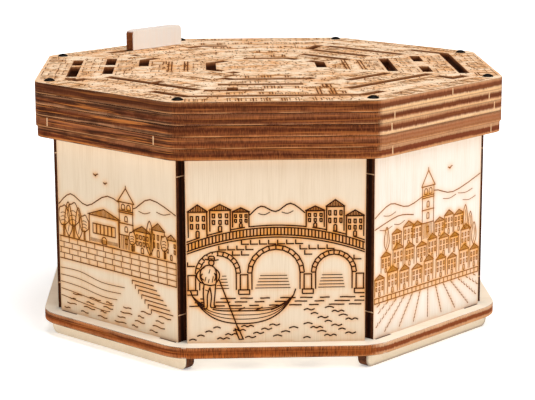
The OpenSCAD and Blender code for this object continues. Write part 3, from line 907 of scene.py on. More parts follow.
def engraved_sheet(name, outline, holes, safe, gaps, strokes, thickness, place, pitch,
                   materials, char):
    """A sheet with strokes cut into its face: the sheet, and the scorched inside of its grooves.

    place turns a point of the sheet and its depth into a point of the object's frame.
    """
    low_corner = [min(p[k] for p in outline) for k in (0, 1)]
    high_corner = [max(p[k] for p in outline) for k in (0, 1)]
    grid = [(x, y)
            for x in np.arange(low_corner[0] + pitch / 2, high_corner[0], pitch)
            for y in np.arange(low_corner[1] + pitch / 2, high_corner[1], pitch)]
    boxes = [box for points, width in strokes for box in stroke_boxes(points, width)]
    polygons = [outline, *holes, safe, *gaps, *boxes]
    first_gap = 2 + len(holes)
    first_box = first_gap + len(gaps)
    verts, triangles, covers = triangulate(polygons, grid)

    sheet, groove = [], []
    for triangle, cover in zip(triangles, covers):
        if 0 not in cover or any(1 <= c <= len(holes) for c in cover):
            continue
        cut = 1 + len(holes) in cover and any(c >= first_box for c in cover)
        if cut and not any(first_gap <= c < first_box for c in cover):
            groove.append(triangle)
        else:
            sheet.append(triangle)

    sheet_edges, groove_edges = directed_edges(sheet), directed_edges(groove)
    border = [(a, b) for a, b in sheet_edges
              if (b, a) not in sheet_edges and (b, a) not in groove_edges]
    border_rings = rings(border)
    field = burn_field(strokes, [[verts[i] for i in ring] for ring in border_rings],
                       low_corner, high_corner)

    # the sheet: its face, the sides of its outline and holes, and its back
    used = sorted({i for triangle in sheet for i in triangle})
    number = {old: new for new, old in enumerate(used)}
    points = [place(*verts[i], 0.0) for i in used]
    x, y = (np.array([verts[i][k] for i in used]) for k in (0, 1))
    near, wide = field(x, y)
    depth = [0.0] * len(used)
    faces = [tuple(number[i] for i in triangle) for triangle in sheet]
    kinds = [0] * len(faces)
    back = {}
    back_xy = []
    for ring in border_rings:
        for i in ring:
            if i not in back:
                back[i] = len(points)
                points.append(place(*verts[i], thickness))
                back_xy.append(verts[i])
                depth.append(1.0)
    outer = max(border_rings, key=lambda ring: abs(signed_area([verts[i] for i in ring])))
    outer_edges = set(zip(outer, outer[1:] + outer[:1]))
    for a, b in border:
        faces.append((number[b], number[a], back[a], back[b]))
        kinds.append(1 if (a, b) in outer_edges else len(materials) - 1)
    first_back = len(used)
    order = {key: i for i, key in enumerate(back)}
    flat, back_triangles, back_covers = triangulate(
        sorted([[verts[i] for i in ring] for ring in border_rings],
               key=lambda ring: -abs(signed_area(ring))))
    nearest = {(round(p[0], 3), round(p[1], 3)): order[i] for i, p in zip(back, back_xy)}
    for triangle, cover in zip(back_triangles, back_covers):
        if set(cover) == {0}:
            keys = [(round(flat[i][0], 3), round(flat[i][1], 3)) for i in triangle]
            if all(key in nearest for key in keys):
                faces.append(tuple(first_back + nearest[key] for key in keys[::-1]))
                kinds.append(0)
    near = np.concatenate([near, np.zeros(len(back))])
    wide = np.concatenate([wide, np.zeros(len(back))])
    sheet_piece = new_mesh(name, points, faces, kinds, materials,
                           {"near": near, "wide": wide, "depth": depth})

    return sheet_piece, lowered_grooves(f"{name}_engraving", verts, groove, groove_edges,
                                        sheet_edges, place, char)


# ---------------------------------------------------------------- materials

def linear(rgb):
    """An sRGB colour of 0 to 255 as linear values with alpha."""
    values = [c / 255 for c in rgb]
    return tuple(v / 12.92 if v < 0.04045 else ((v + 0.055) / 1.055) ** 2.4 for v in values) + (1,)


class Shader:
    """A material under construction: short ways to add and join its nodes."""

    def __init__(self, name):
        self.material = bpy.data.materials.new(name)
        self.material.use_nodes = True
        self.tree = self.material.node_tree
        self.surface = self.tree.nodes["Principled BSDF"]
        self.coordinates = self.add("ShaderNodeTexCoord")
        self.position = self.math_vector("SCALE", self.coordinates.outputs["Object"], scale=1 / MM)

    def add(self, kind, settings=None, inputs=None):
        node = self.tree.nodes.new(kind)
        for key, value in (settings or {}).items():
            setattr(node, key, value)
        for key, value in (inputs or {}).items():
            self.set(node.inputs[key], value)
        return node

    def set(self, socket, value):
        if isinstance(value, bpy.types.NodeSocket):
            self.tree.links.new(value, socket)
        else:
            socket.default_value = value

    def math(self, operation, a, b=0.0, c=0.0, clamp=False):
        node = self.add("ShaderNodeMath", {"operation": operation, "use_clamp": clamp},
                        {0: a, 1: b, 2: c})
        return node.outputs[0]

    def math_vector(self, operation, a, b=None, scale=None):
        node = self.add("ShaderNodeVectorMath", {"operation": operation}, {0: a})
        if b is not None:
            self.set(node.inputs[1], b)
        if scale is not None:
            self.set(node.inputs["Scale"], scale)
        return node.outputs["Value" if operation in ("DOT_PRODUCT", "LENGTH") else "Vector"]

    def noise(self, scales, detail=2.0, roughness=0.5, shift=(0, 0, 0)):
        """Noise whose scale, in features for each millimetre, differs along each axis."""
        node = self.add("ShaderNodeMapping", None,
                        {"Vector": self.position, "Scale": scales, "Location": shift})
        noise = self.add("ShaderNodeTexNoise", None,
                         {"Vector": node.outputs[0], "Scale": 1.0, "Detail": detail,
                          "Roughness": roughness})
        return noise.outputs["Fac"]

    def mix(self, factor, a, b, blend="MIX"):
        node = self.add("ShaderNodeMix", {"data_type": "RGBA", "blend_type": blend})
        self.set(node.inputs[0], factor)
        self.set(node.inputs[6], a)
        self.set(node.inputs[7], b)
        return node.outputs[2]

    def ramp(self, factor, stops, interpolation="LINEAR"):
        node = self.add("ShaderNodeValToRGB", None, {"Fac": factor})
        node.color_ramp.interpolation = interpolation
        elements = node.color_ramp.elements
        while len(elements) < len(stops):
            elements.new(0.5)
        for element, (position, colour) in zip(elements, stops):
            element.position = position
            element.color = colour if len(colour) == 4 else linear(colour)
        return node.outputs["Color"]

    def level(self, factor, start, end, low_value=0.0, high_value=1.0):
        node = self.add("ShaderNodeMapRange", {"clamp": True},
                        {"Value": factor, "From Min": start, "From Max": end,
                         "To Min": low_value, "To Max": high_value})
        return node.outputs[0]

    def attribute(self, name):
        return self.add("ShaderNodeAttribute", {"attribute_name": name}).outputs["Fac"]

    def bump(self, height, strength, distance=0.0001):
        node = self.add("ShaderNodeBump", None,
                        {"Height": height, "Strength": strength, "Distance": distance})
        return node.outputs["Normal"]

    def finish(self, colour, roughness, normal=None, **values):
        self.set(self.surface.inputs["Base Color"], colour)
        self.set(self.surface.inputs["Roughness"], roughness)
        if normal is not None:
            self.set(self.surface.inputs["Normal"], normal)
        for key, value in values.items():
            self.surface.inputs[key.replace("_", " ")].default_value = value
        return self.material


def birch(rgb, contrast=1.0):
    """Sanded birch of a middle colour, with its lighter and its darker grain."""
    def scaled(*factors):
        return tuple(min(252, v * (1 + (f - 1) * contrast)) for v, f in zip(rgb, factors))

    return {"light": scaled(1.02, 1.025, 1.035), "mid": rgb, "dark": scaled(0.96, 0.94, 0.91)}


PALE = birch((234, 216, 190))
TAN = birch((222, 188, 148), 1.3)

# Each wall has its own sheet and burn: its wood, the light and dark of its lines, the fringe
# beside them, how much smoke lies between them, and how bold they are. The se wall's paler
# wood and lighter lines are partly painted light, as that wall faces the key light, and the
# darker wood of the s and sw walls is partly painted shade
WALL_LOOKS = {
    "s": ((222, 202, 176), (66, 31, 9), (28, 11, 3), (174, 94, 20), 1.1, 0.96),
    "sw": ((227, 206, 178), (126, 68, 16), (64, 29, 6), (194, 116, 30), 1.3, 0.84),
    "se": ((238, 226, 212), (174, 100, 20), (118, 60, 9), (222, 148, 42), 1.3, 0.72),
    "e": ((234, 218, 196), (120, 66, 24), (66, 32, 10), (186, 116, 50), 1.1, 0.85),
    "ne": ((229, 209, 182), (88, 44, 14), (40, 18, 5), (168, 98, 38), 1.2, 0.95),
    "n": ((232, 214, 190), (104, 56, 18), (54, 25, 7), (180, 108, 44), 1.1, 0.9),
    "nw": ((227, 205, 176), (76, 38, 12), (34, 14, 4), (162, 92, 34), 1.2, 0.95),
    "w": ((234, 217, 196), (132, 76, 28), (78, 38, 12), (192, 122, 54), 1.1, 0.85),
}


def wood_grain(s, palette, along):
    """The colour and height of sanded birch whose grain runs along an axis: 0, 1 or 2."""
    def stretched(across, length):
        return tuple(length if axis == along else across for axis in range(3))

    fine = s.noise(stretched(3.6, 0.06), detail=4.0, roughness=0.7)
    broad = s.noise(stretched(0.14, 0.014), detail=2.0, shift=(3, 7, 5))
    pores = s.noise(stretched(6.0, 0.3), detail=1.0, shift=(11, 2, 9))
    tone = s.math("ADD", s.math("MULTIPLY", fine, 0.68), s.math("MULTIPLY", broad, 0.32))
    colour = s.ramp(tone, [(0.36, palette["dark"]), (0.49, palette["mid"]),
                           (0.62, palette["light"])])
    flecks = s.level(pores, 0.64, 0.76, 0.0, 0.3)
    colour = s.mix(flecks, colour, linear(palette["dark"]))
    height = s.math("SUBTRACT", fine, s.math("MULTIPLY", flecks, 0.6))
    return colour, height


def scorched(s, colour, strength=1.0, fringe_colour=(168, 98, 46)):
    """Adds the brown fringe of the laser, from the sheet's own attributes."""
    near, wide = s.attribute("near"), s.attribute("wide")
    patchy = s.noise((0.22, 0.22, 0.22), detail=3.0, shift=(5, 5, 1))
    haze = s.math("MULTIPLY", s.math("MULTIPLY", wide, s.level(patchy, 0.3, 0.7, 0.7, 1.15)),
                  0.8 * strength, clamp=True)
    colour = s.mix(haze, colour, linear((228, 154, 58)))
    fringe = s.math("MULTIPLY", s.math("POWER", near, 1.3), 0.9, clamp=True)
    return s.mix(fringe, colour, linear(fringe_colour))


def face_material(name, palette, along, strength, fringe_colour):
    """The engraved face of a sheet."""
    s = Shader(name)
    colour, height = wood_grain(s, palette, along)
    colour = scorched(s, colour, strength, fringe_colour)
    roughness = s.level(height, 0.2, 0.8, 0.68, 0.56)
    return s.finish(colour, roughness, s.bump(height, 0.2), Specular_IOR_Level=0.2)


def maze_face_material():
    """The top of the lid: hazed by dense engraving, with smoke stains and specks."""
    s = Shader("maze_engraved")
    colour, height = wood_grain(s, birch((244, 220, 190)), 0)
    stains = s.noise((0.1, 0.24, 0.1), detail=4.0, roughness=0.7, shift=(2, 8, 1))
    colour = s.mix(s.level(stains, 0.44, 0.62, 0.0, 0.7), colour, linear((222, 148, 76)))
    colour = scorched(s, colour, 0.7, (186, 112, 48))
    specks = s.noise((1.6, 0.7, 1.0), detail=3.0, roughness=0.75, shift=(7, 3, 4))
    colour = s.mix(s.level(specks, 0.55, 0.66, 0.0, 0.7), colour, linear((160, 94, 44)))
    return s.finish(colour, s.level(height, 0.2, 0.8, 0.7, 0.58), s.bump(height, 0.25),
                    Specular_IOR_Level=0.12)


def char_material(name, light, dark):
    """The burnt inside of a groove."""
    s = Shader(name)
    tone = s.noise((1.3, 1.3, 1.3), detail=3.0)
    colour = s.ramp(tone, [(0.35, dark), (0.65, light)])
    return s.finish(colour, s.level(tone, 0.3, 0.7, 0.75, 0.95), s.bump(tone, 0.3),
                    Specular_IOR_Level=0.08)


def burnt_end_material(name, dark=(44, 20, 9), mid=(92, 48, 24)):
    """The cut ends of an upright sheet: plies through the depth, almost black."""
    s = Shader(name)
    depth = s.attribute("depth")
    soot = s.noise((1.2, 1.2, 0.6), detail=4.0)
    plies = s.ramp(depth, [(0.0, mid), (0.27, mid), (0.34, dark), (0.64, dark), (0.72, mid),
                           (1.0, mid)])
    colour = s.mix(s.level(soot, 0.35, 0.65, 0.0, 0.6), plies, linear(dark))
    return s.finish(colour, s.level(soot, 0.3, 0.7, 0.8, 0.95), s.bump(soot, 0.3),
                    Specular_IOR_Level=0.1)


# How striped and pale the plies look on each side of a flat sheet, palest on the se side, where this
# is partly painted light from the key light; and how sooty and dark each side is, darkest on the sw
# side, where this is partly painted shade
STRIPES_AND_LIGHT = {"w": 0.3, "sw": 0.2, "s": 0.0, "se": 1.0, "e": 0.5, "ne": 0.8, "n": 0.15, "nw": 0.6}
SOOT_AND_SHADE = {"w": 0.6, "sw": 1.0, "s": 0.45, "se": 0.12, "e": 0.3, "ne": 0.2, "n": 0.5, "nw": 0.4}

# How strongly the laser's upright marks show on each side
COMB = {"w": 0.5, "sw": 0.2, "s": 0.85, "se": 0.3, "e": 0.6, "ne": 0.4, "n": 0.9, "nw": 0.3}

# How much darker the top sheet's edge is on each side: burnt, and partly painted shade on the sw, w
# and nw sides, turned from the key light
TOP_CHAR_AND_SHADE = {"w": 0.4, "sw": 0.6, "s": 0.1, "se": 0.0, "e": 0.1, "ne": 0.0, "n": 0.1, "nw": 0.3}

# How much more of its lower arris shows a painted highlight, for most sheets and for the floor plate
ARRIS_HIGHLIGHT = [
    {"w": 0.0, "sw": -0.05, "s": -0.03, "se": 0.0, "e": 0.0, "ne": 0.0, "n": 0.0, "nw": 0.0},
    {"w": 0.05, "sw": 0.2, "s": 0.0, "se": 0.05, "e": 0.0, "ne": 0.0, "n": 0.05, "nw": 0.1},
]

# The plies of each sheet on its cut edge, from its upper face down: where it is burnt all
# over, and where the pale plies still show. The pale set is partly painted light and the
# burnt set partly painted shade, as each side is mixed between them by how it faces the light
EDGES = {
    # maze_plate: the lighter colour at the top of its plies is a painted highlight on its upper
    # arris
    "maze_plate": (
        [(0.0, (172, 120, 80)), (0.12, (131, 76, 44)), (0.4, (92, 42, 18)), (0.72, (134, 74, 40)),
         (0.93, (148, 88, 55))],
        [(0.0, (206, 154, 112)), (0.22, (170, 110, 74)), (0.34, (118, 64, 38)),
         (0.62, (112, 60, 34)), (0.7, (172, 128, 96)), (0.8, (236, 190, 140)),
         (1.0, (238, 192, 142))]),
    "spacer_ring": (
        [(0.05, (128, 74, 46)), (0.3, (130, 76, 47)), (0.57, (90, 40, 16)), (0.8, (114, 61, 35)),
         (0.93, (138, 86, 58))],
        [(0.0, (228, 182, 136)), (0.14, (218, 170, 124)), (0.25, (168, 120, 86)),
         (0.34, (108, 56, 31)), (0.6, (104, 52, 28)), (0.7, (168, 110, 78)),
         (0.8, (226, 176, 128)), (1.0, (228, 180, 132))]),
    "guide_plate": (
        [(0.05, (94, 45, 22)), (0.2, (112, 60, 35)), (0.43, (88, 38, 15)), (0.75, (139, 76, 42)),
         (0.95, (172, 105, 64))],
        [(0.0, (206, 160, 118)), (0.12, (184, 132, 92)), (0.22, (164, 108, 72)),
         (0.3, (118, 62, 36)), (0.56, (110, 58, 33)), (0.66, (156, 104, 76)),
         (0.78, (240, 196, 150)), (1.0, (236, 190, 142))]),
    "floor_plate": (
        [(0.05, (146, 81, 44)), (0.25, (157, 94, 59)), (0.57, (104, 49, 23)), (0.8, (143, 77, 43)),
         (0.95, (159, 94, 51))],
        [(0.0, (164, 118, 86)), (0.08, (138, 92, 60)), (0.2, (176, 118, 82)),
         (0.38, (160, 96, 60)), (0.57, (175, 115, 78)), (0.75, (152, 94, 56)),
         (0.9, (188, 134, 94))]),
    "rim_ring": (
        [(0.05, (139, 74, 34)), (0.3, (136, 77, 46)), (0.56, (92, 38, 16)), (0.76, (130, 70, 36)),
         (0.94, (172, 100, 50))],
        [(0.0, (200, 152, 112)), (0.26, (192, 140, 100)), (0.36, (122, 60, 34)),
         (0.72, (118, 56, 32)), (0.84, (196, 134, 88)), (1.0, (212, 160, 114))]),
    "base_plate": (
        [(0.0, (220, 158, 108)), (0.12, (184, 108, 60)), (0.35, (144, 72, 30)),
         (0.6, (150, 72, 26)), (0.8, (180, 96, 42)), (0.96, (176, 108, 62))],
        [(0.0, (226, 184, 148)), (0.26, (206, 158, 118)), (0.36, (132, 66, 34)),
         (0.66, (134, 68, 36)), (0.78, (204, 148, 104)), (1.0, (206, 156, 112))]),
    "inner": (
        [(0.0, (190, 142, 96)), (0.3, (150, 94, 56)), (0.5, (104, 56, 30)), (0.75, (146, 90, 54)),
         (1.0, (184, 134, 90))],
        [(0.0, (212, 172, 130)), (0.3, (206, 164, 122)), (0.38, (136, 80, 48)),
         (0.64, (136, 80, 48)), (0.72, (206, 164, 122)), (1.0, (212, 172, 130))]),
}


def by_side(s, values):
    """A value for each side of the octagon, by where the surface looks."""
    normal = s.add("ShaderNodeSeparateXYZ", None, {0: s.coordinates.outputs["Normal"]})
    turn = s.math("ARCTAN2", normal.outputs[1], normal.outputs[0])
    share = s.math("MULTIPLY_ADD", turn, 1 / (2 * math.pi), 0.5)
    stops = []
    for i, side in enumerate(["w", "sw", "s", "se", "e", "ne", "n", "nw", "w"]):
        grey = (values[side],) * 3 + (1,)
        stops += [(max(0.0, i / 8 - 0.045), grey), (min(1.0, i / 8 + 0.045), grey)]
    return s.ramp(share, stops)


def edge_colour(s, top, plies):
    """The cut edge of a flat sheet: plies by height, more striped on some sides than on others,
    paler on the se side and darker on the sw side, partly as painted light and shade.
    """
    burnt_plies, pale_plies = EDGES[plies]
    place = s.add("ShaderNodeSeparateXYZ", None, {0: s.position})
    down = s.math("DIVIDE", s.math("SUBTRACT", top, place.outputs[2]), PLY)
    wander = s.noise((0.035, 0.035, 0.05), detail=2.0, shift=(top, 0, 0))
    ragged = s.noise((1.6, 1.6, 0.1), detail=2.0, shift=(0, top, 3))
    sway = s.math("ADD", s.level(wander, 0.3, 0.7, -0.05, 0.05),
                  s.level(ragged, 0.3, 0.7, -0.045, 0.045))
    ply = s.math("ADD", down, sway)
    colour = s.mix(by_side(s, STRIPES_AND_LIGHT), s.ramp(ply, burnt_plies), s.ramp(ply, pale_plies))

    # soot here is partly painted shade, set by side; it also darkens the seams further down
    soot = by_side(s, SOOT_AND_SHADE)
    if plies == "base_plate":
        soot = s.math("MULTIPLY", soot, 0.6)
    comb = s.noise((4.2, 4.2, 0.3), detail=2.0, roughness=0.7, shift=(1, 6, top))
    light_comb = s.noise((3.8, 3.8, 0.4), detail=2.0, roughness=0.7, shift=(8, 2, top))
    streaks = s.noise((0.022, 0.022, 1.2), detail=4.0, roughness=0.6, shift=(4, 4, top))
    light_streaks = s.noise((0.026, 0.026, 1.4), detail=4.0, roughness=0.6, shift=(6, 1, top))
    blotches = s.noise((0.13, 0.13, 0.3), detail=4.0, shift=(0, top, 0))

    def marked(noise, start, end, most, weight, rgb):
        """The colour so far, with marks in another where the noise is high."""
        amount = s.math("MULTIPLY", s.level(noise, start, end, 0.0, most), weight)
        return s.mix(amount, colour, linear(rgb))

    colour = marked(comb, 0.44, 0.64, 0.9, by_side(s, COMB), (48, 20, 7))
    colour = marked(blotches, 0.48, 0.7, 0.8, soot, (54, 23, 8))
    colour = marked(streaks, 0.485, 0.56, 0.84, soot, (46, 21, 9))
    colour = marked(light_streaks, 0.55, 0.61, 0.85, soot, (192, 114, 54))
    # the top sheet's edge, darker by side: char, and partly painted shade
    if plies == "maze_plate":
        colour = s.mix(by_side(s, TOP_CHAR_AND_SHADE), colour, linear((74, 35, 16)))
    colour = marked(light_comb, 0.54, 0.7, 0.4, by_side(s, COMB), (186, 108, 54))

    # the seam with the next sheet: a dark line, with a broken pale one over it, a painted highlight
    # where the arris catches the light
    seam = s.math("MINIMUM", down, s.math("SUBTRACT", 1.0, down))
    seam = s.math("MULTIPLY", s.level(seam, 0.015, 0.06, 0.95, 0.0),
                  s.level(soot, 0.1, 0.4, 0.45, 1.0))
    colour = s.mix(seam, colour, linear((40, 17, 6)))
    # painted highlight: a broken pale line along the lower arris of each sheet, where the edge
    # catches the light
    arris = s.level(s.math("ABSOLUTE", s.math("SUBTRACT", down, 0.93)), 0.0, 0.05, 0.75, 0.0)
    broken = s.noise((0.09, 0.09, 0.3), detail=3.0, shift=(9, 1, top))
    highlight_bias = by_side(s, ARRIS_HIGHLIGHT[plies == "floor_plate"])
    arris = s.math("MULTIPLY", arris, s.level(s.math("ADD", broken, highlight_bias), 0.42, 0.56))
    colour = s.mix(arris, colour, linear((212, 150, 98)))
    return colour, comb


def layer_material(name, node, palette, along=0, plies="inner"):
    """A flat sheet: sanded faces above and below, and a scorched cut edge."""
    s = Shader(name)
    face, face_height = wood_grain(s, palette, along)
    edge, edge_height = edge_colour(s, high(node).z, plies)
    upright = s.add("ShaderNodeSeparateXYZ", None, {0: s.coordinates.outputs["Normal"]})
    flat = s.level(s.math("ABSOLUTE", upright.outputs[2]), 0.6, 0.8)
    colour = s.mix(flat, edge, face)
    height = s.math("ADD", s.math("MULTIPLY", flat, face_height), edge_height)
    roughness = s.level(flat, 0.0, 1.0, 0.85, 0.6)
    return s.finish(colour, roughness, s.bump(height, 0.3), Specular_IOR_Level=0.06)


def slot_material():
    """The burnt inside of the maze's lanes."""
    s = Shader("burnt_slot")
    depth = s.attribute("depth")
    comb = s.noise((2.4, 2.4, 0.2), detail=3.0, roughness=0.7)
    plies = s.ramp(depth, [(0.0, (206, 150, 104)), (0.1, (178, 116, 72)), (0.22, (132, 76, 42)),
                           (0.45, (66, 32, 15)), (0.65, (72, 36, 17)),
                           (0.85, (104, 58, 32))])
    colour = s.mix(s.level(comb, 0.4, 0.66, 0.0, 0.45), plies, linear((54, 26, 12)))
    return s.finish(colour, s.level(comb, 0.3, 0.7, 0.8, 0.95), s.bump(comb, 0.3),
                    Specular_IOR_Level=0.1)


def board_material(name, palette, axis, along=2, end=(50, 25, 12), end_light=(112, 64, 36),
                   bare_top=False):
    """An upright board: pale on its two faces, which look along axis, and scorched at its cuts."""
    s = Shader(name)
    face, face_height = wood_grain(s, palette, along)
    facing = s.math("ABSOLUTE", s.math_vector("DOT_PRODUCT", s.coordinates.outputs["Normal"], axis))
    soot = s.noise((0.9, 0.9, 0.9), detail=4.0)
    cut = s.ramp(soot, [(0.35, end), (0.7, end_light)])
    if bare_top:
        upright = s.add("ShaderNodeSeparateXYZ", None, {0: s.coordinates.outputs["Normal"]})
        smoked = s.mix(0.35, face, linear(end_light))
        cut = s.mix(s.level(upright.outputs[2], 0.4, 0.8), cut, smoked)
    flat = s.level(facing, 0.6, 0.8)
    colour = s.mix(flat, cut, face)
    height = s.math("ADD", s.math("MULTIPLY", flat, face_height), s.math("MULTIPLY", soot, 0.3))
    return s.finish(colour, s.level(flat, 0.0, 1.0, 0.85, 0.6), s.bump(height, 0.25),
                    Specular_IOR_Level=0.2)


def screw_material():
    """Black lacquered steel, a little worn."""
    s = Shader("black_lacquer")
    wear = s.noise((2.2, 2.2, 2.2), detail=4.0)
    colour = s.ramp(wear, [(0.4, (9, 6, 4)), (0.68, (22, 16, 11))])
    return s.finish(colour, s.level(wear, 0.3, 0.7, 0.34, 0.5), s.bump(wear, 0.12),
                    Specular_IOR_Level=0.05)


def steel_material():
    """Bright drawn steel wire."""
    s = Shader("bright_steel")
    lines = s.noise((9.0, 9.0, 0.4), detail=3.0)
    colour = s.ramp(lines, [(0.35, (150, 150, 152)), (0.7, (205, 205, 208))])
    return s.finish(colour, s.level(lines, 0.3, 0.7, 0.25, 0.42), s.bump(lines, 0.15),
                    Metallic=1.0)


def paint(piece, material):
    piece.data.materials.clear()
    piece.data.materials.append(material)
    return piece


# ---------------------------------------------------------------- pieces

def wall_frame(side, face):
    """Turns a point of a wall, and its depth behind the wall's face, into the object's frame."""
    def place(x, y, depth):
        px, py = on_side(side, face - depth, x)
        return px * MM, py * MM, (WALL_FOOT + y) * MM
    return place


def make_walls():
    """The eight walls, each with its scene cut into it."""
    half, tab = WALL_HALF, WALL_TAB_HALF
    top, cut = WALL_H, WALL_CHAMFER
    outline = [(-half, 0.0)]
    for at in (-WALL_TAB_AT, WALL_TAB_AT):
        outline += [(at - tab, 0.0), (at - tab, -PLY), (at + tab, -PLY), (at + tab, 0.0)]
    outline += [(half, 0.0), (half, top - cut), (half - cut, top), (cut - half, top),
                (-half, top - cut)]
    inset = 0.22
    safe = [(inset - half, inset), (half - inset, inset), (half - inset, top - inset),
            (inset - half, top - inset)]
    end = burnt_end_material("burnt_end")
    for side, name in enumerate(SIDES):
        wood, line_light, line_dark, fringe, haze, weight = WALL_LOOKS[name]
        face = face_material(f"birch_engraved_{name}", birch(wood), 2, haze, fringe)
        char = char_material(f"char_{name}", line_light, line_dark)
        drawing = Drawing(weight=weight)
        WALL_SCENES[name](drawing)
        wall, grooves = engraved_sheet(
            f"wall_{name}", outline, [], safe, [], drawing.strokes, PLY,
            wall_frame(side, WALL_FACE), 0.8, [face, end], char)
        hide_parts(f"side_panel_{name}")
        for piece in (wall, grooves):
            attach(piece, "box")


def make_maze_plate():
    """The top of the lid, with the lanes of its maze and its engraving."""
    holes = [lane_run(*run) for run in MAZE] + [cross_lane(*cross) for cross in CROSS_LANES]
    margin = 0.3
    gaps = [lane_run(*run, grow=margin) for run in MAZE]
    gaps += [cross_lane(*cross, grow=margin) for cross in CROSS_LANES]
    outline = octagon(LID_HALF, LID_CORNER)
    safe = octagon(LID_HALF - margin, LID_CORNER)

    def place(x, y, depth):
        return x * MM, y * MM, (LID_TOP - depth) * MM

    materials = [maze_face_material(),
                 layer_material("maze_edge", "maze_plate", TAN, plies="maze_plate"),
                 slot_material()]
    char = char_material("char_maze", (126, 72, 33), (64, 32, 12))
    plate, grooves = engraved_sheet("maze_top", outline, holes, safe, gaps,
                                    draw_maze_top().strokes, PLY, place, 1.2, materials, char)
    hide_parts("maze_plate")
    for piece in (plate, grooves):
        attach(piece, "lid")


def make_nicks(name, body, spots):
    """Small stubs of unburnt wood, a little proud, where the sheets were held while they were cut.

    Each spot: a side, then from and to: out from the middle, along the side, and up.
    """
    verts, faces = [], []
    for side, outs, alongs, heights in spots:
        first = len(verts)
        for out in outs:
            for along in alongs:
                verts += [tuple(v * MM for v in (*on_side(side, out, along), z)) for z in heights]
        faces += [tuple(first + i for i in face)
                  for face in ((0, 1, 3, 2), (4, 6, 7, 5), (0, 4, 5, 1), (2, 3, 7, 6),
                               (0, 2, 6, 4), (1, 5, 7, 3))]
    material = board_material(f"{name}_wood", PALE, (0, 0, 1), end=(206, 156, 110),
                              end_light=(232, 192, 150))
    stubs = new_mesh(name, verts, faces, [0] * len(faces), [material])
    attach(stubs, body)


def lid_nicks():
    proud, sunk, width = 0.06, 0.3, 0.5
    spots = []
    for node, side, along in LID_NICKS:
        face = high(node).x
        spots.append((side, (face - sunk, face + proud), (along - width / 2, along + width / 2),
                      (low(node).z + 0.15 * PLY, high(node).z - 0.1 * PLY)))
    return spots


def wall_nicks():
    proud, sunk, height = 0.06, 0.3, 0.35
    spots = []
    for side in range(len(SIDES)):
        for z in WALL_NICK_HEIGHTS:
            for end in (-1, 1):
                alongs = sorted((end * (WALL_HALF - sunk), end * (WALL_HALF + proud)))
                spots.append((side, (WALL_FACE - PLY + 0.2, WALL_FACE - 0.2), alongs,
                              (WALL_FOOT + z, WALL_FOOT + z + height)))
    return spots


def crisp_copy(node, body, bevel=0.09):
    """The node's own shape with its sharp edges broken a little, standing for the node."""
    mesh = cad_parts[node].data.copy()
    mesh.materials.clear()
    piece = bpy.data.objects.new(f"{node}_board", mesh)
    bpy.context.scene.collection.objects.link(piece)
    bm = bmesh.new()
    bm.from_mesh(mesh)
    bmesh.ops.remove_doubles(bm, verts=bm.verts, dist=1e-6)
    bmesh.ops.dissolve_limit(bm, angle_limit=math.radians(1), verts=bm.verts, edges=bm.edges)
    sharp = [e for e in bm.edges
             if len(e.link_faces) == 2 and e.calc_face_angle(0) > math.radians(30)]
    bmesh.ops.bevel(bm, geom=sharp, offset=bevel * MM, segments=2, affect="EDGES",
                    clamp_overlap=True)
    bmesh.ops.triangulate(bm, faces=[f for f in bm.faces if len(f.verts) > 4])
    bm.to_mesh(mesh)
    bm.free()
    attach(piece, body)
    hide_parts(node)
    return piece


def board(node, body, material):
    """A crisp copy of the node, in its material and on its body."""
    paint(crisp_copy(node, body), material)


def dowel_material(name):
    """Plain beech, end grain a little darker."""
    return board_material(name, TAN, (0, 0, 1), end=(170, 128, 84), end_light=(214, 174, 126))


def side_axis(side):
    return (*turned(1.0, 0.0, 45 * side), 0.0)


# ---------------------------------------------------------------- light, floor and camera

def make_stage():
    bpy.ops.mesh.primitive_plane_add(size=6.0)
    floor = bpy.context.object
    floor.name = "floor"
    s = Shader("glowing_white_floor")
    # painted light: the floor glows, fainter near the box and stronger further off, which washes out
    # the box's shadow on it and lights the box from below
    reach = s.math_vector("LENGTH", s.coordinates.outputs["Object"])
    s.set(s.surface.inputs["Emission Strength"], s.level(reach, 0.12, 0.7, 0.36, 0.95))
    paint(floor, s.finish(linear((250, 250, 250)), 0.95, Emission_Color=(1, 1, 1, 1)))


def make_light(name, place, size, power, colour=(1, 1, 1)):
    light = bpy.data.lights.new(name, "AREA")
    light.size = size
    light.energy = power
    light.color = colour
    lamp = bpy.data.objects.new(name, light)
    lamp.location = place
    lamp.rotation_euler = (Vector((0, 0, 0.05)) - Vector(place)).to_track_quat(
        "-Z", "Y").to_euler()
    bpy.context.scene.collection.objects.link(lamp)


def make_lights():
    world = bpy.data.worlds.new("studio")
    bpy.context.scene.world = world
    world.use_nodes = True
    sky = world.node_tree.nodes["Background"]
    sky.inputs["Color"].default_value = (1, 1, 1, 1)
    sky.inputs["Strength"].default_value = 0.12
    make_light("key", (0.9, -0.9, 1.1), 1.0, 12.8)
    make_light("fill", (-1.2, -0.8, 0.5), 1.2, 5.8)
    make_light("top", (0.1, -0.15, 1.6), 1.0, 20)
    bpy.context.scene.view_settings.view_transform = "Standard"


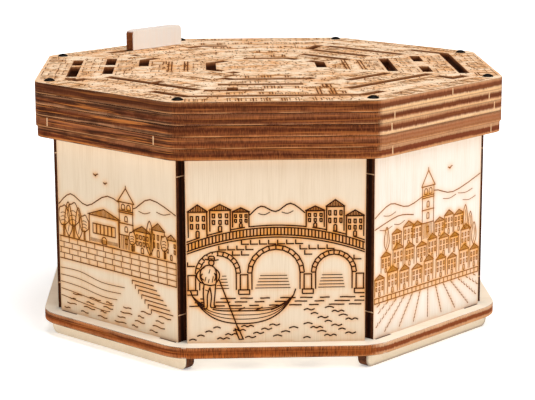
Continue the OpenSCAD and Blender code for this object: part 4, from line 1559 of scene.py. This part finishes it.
def make_camera():
    """A long lens a little above the box, turned slightly to its right."""
    camera = bpy.data.cameras.new("camera")
    camera.lens = 115.95
    camera.sensor_width = 36.0
    place = (-0.0262, -0.6523, 0.1870)
    viewpoint = bpy.data.objects.new("camera", camera)
    turn, tilt, roll = (math.radians(a) for a in (2.334, 12.494, -0.218))
    aim = Matrix.Rotation(-turn, 4, "Z") @ Matrix.Rotation(math.pi / 2 - tilt, 4, "X")
    aim = aim @ Matrix.Rotation(roll, 4, "Z")
    viewpoint.matrix_world = Matrix.Translation(place) @ aim
    bpy.context.scene.collection.objects.link(viewpoint)
    bpy.context.scene.camera = viewpoint


# ---------------------------------------------------------------- the whole object

make_stage()
make_lights()
make_camera()

make_walls()
make_maze_plate()
make_nicks("lid_nicks", "lid", lid_nicks())
make_nicks("wall_nicks", "box", wall_nicks())

for node in ("spacer_ring", "guide_plate", "floor_plate", "rim_ring"):
    board(node, "lid", layer_material(f"{node}_ply", node, TAN, plies=node))
# the base's paler birch is partly painted light on its top, which is lit from above
board("base_plate", "box",
      layer_material("base_ply", "base_plate", birch((246, 233, 214)), plies="base_plate"))
for node in ("bottom_frame", "top_frame"):
    board(node, "box", layer_material(f"{node}_ply", node, PALE))
for side, name in enumerate(SIDES):
    axis = side_axis(side)
    if side % 2:
        board(f"foot_{name}", "box",
              board_material(f"foot_{name}_ply", PALE, axis, along=1))
    else:
        board(f"keeper_{name}", "box",
              board_material(f"keeper_{name}_ply", TAN, axis))
        board(f"bolt_{name}", f"bolt_{name}_body",
              layer_material(f"bolt_{name}_ply", f"bolt_{name}", TAN))
        paint(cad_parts[f"bolt_pin_{name}"], dowel_material(f"bolt_pin_{name}_wood"))
# the key's near-white birch is partly painted light on its face toward the key light
board("key_grip", "key",
      board_material("key_ply", birch((255, 250, 243), 0.6), side_axis(3),
                     end=(104, 52, 22), end_light=(150, 84, 42), bare_top=True))
board("cam_disc", "cam", layer_material("cam_ply", "cam_disc", TAN))
for node in ("cam_pivot", "pivot_cap"):
    paint(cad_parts[node], dowel_material(f"{node}_wood"))
for node in ("key_pin", "key_washer"):
    paint(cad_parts[node], steel_material())
paint(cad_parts["lid_screws"], screw_material())
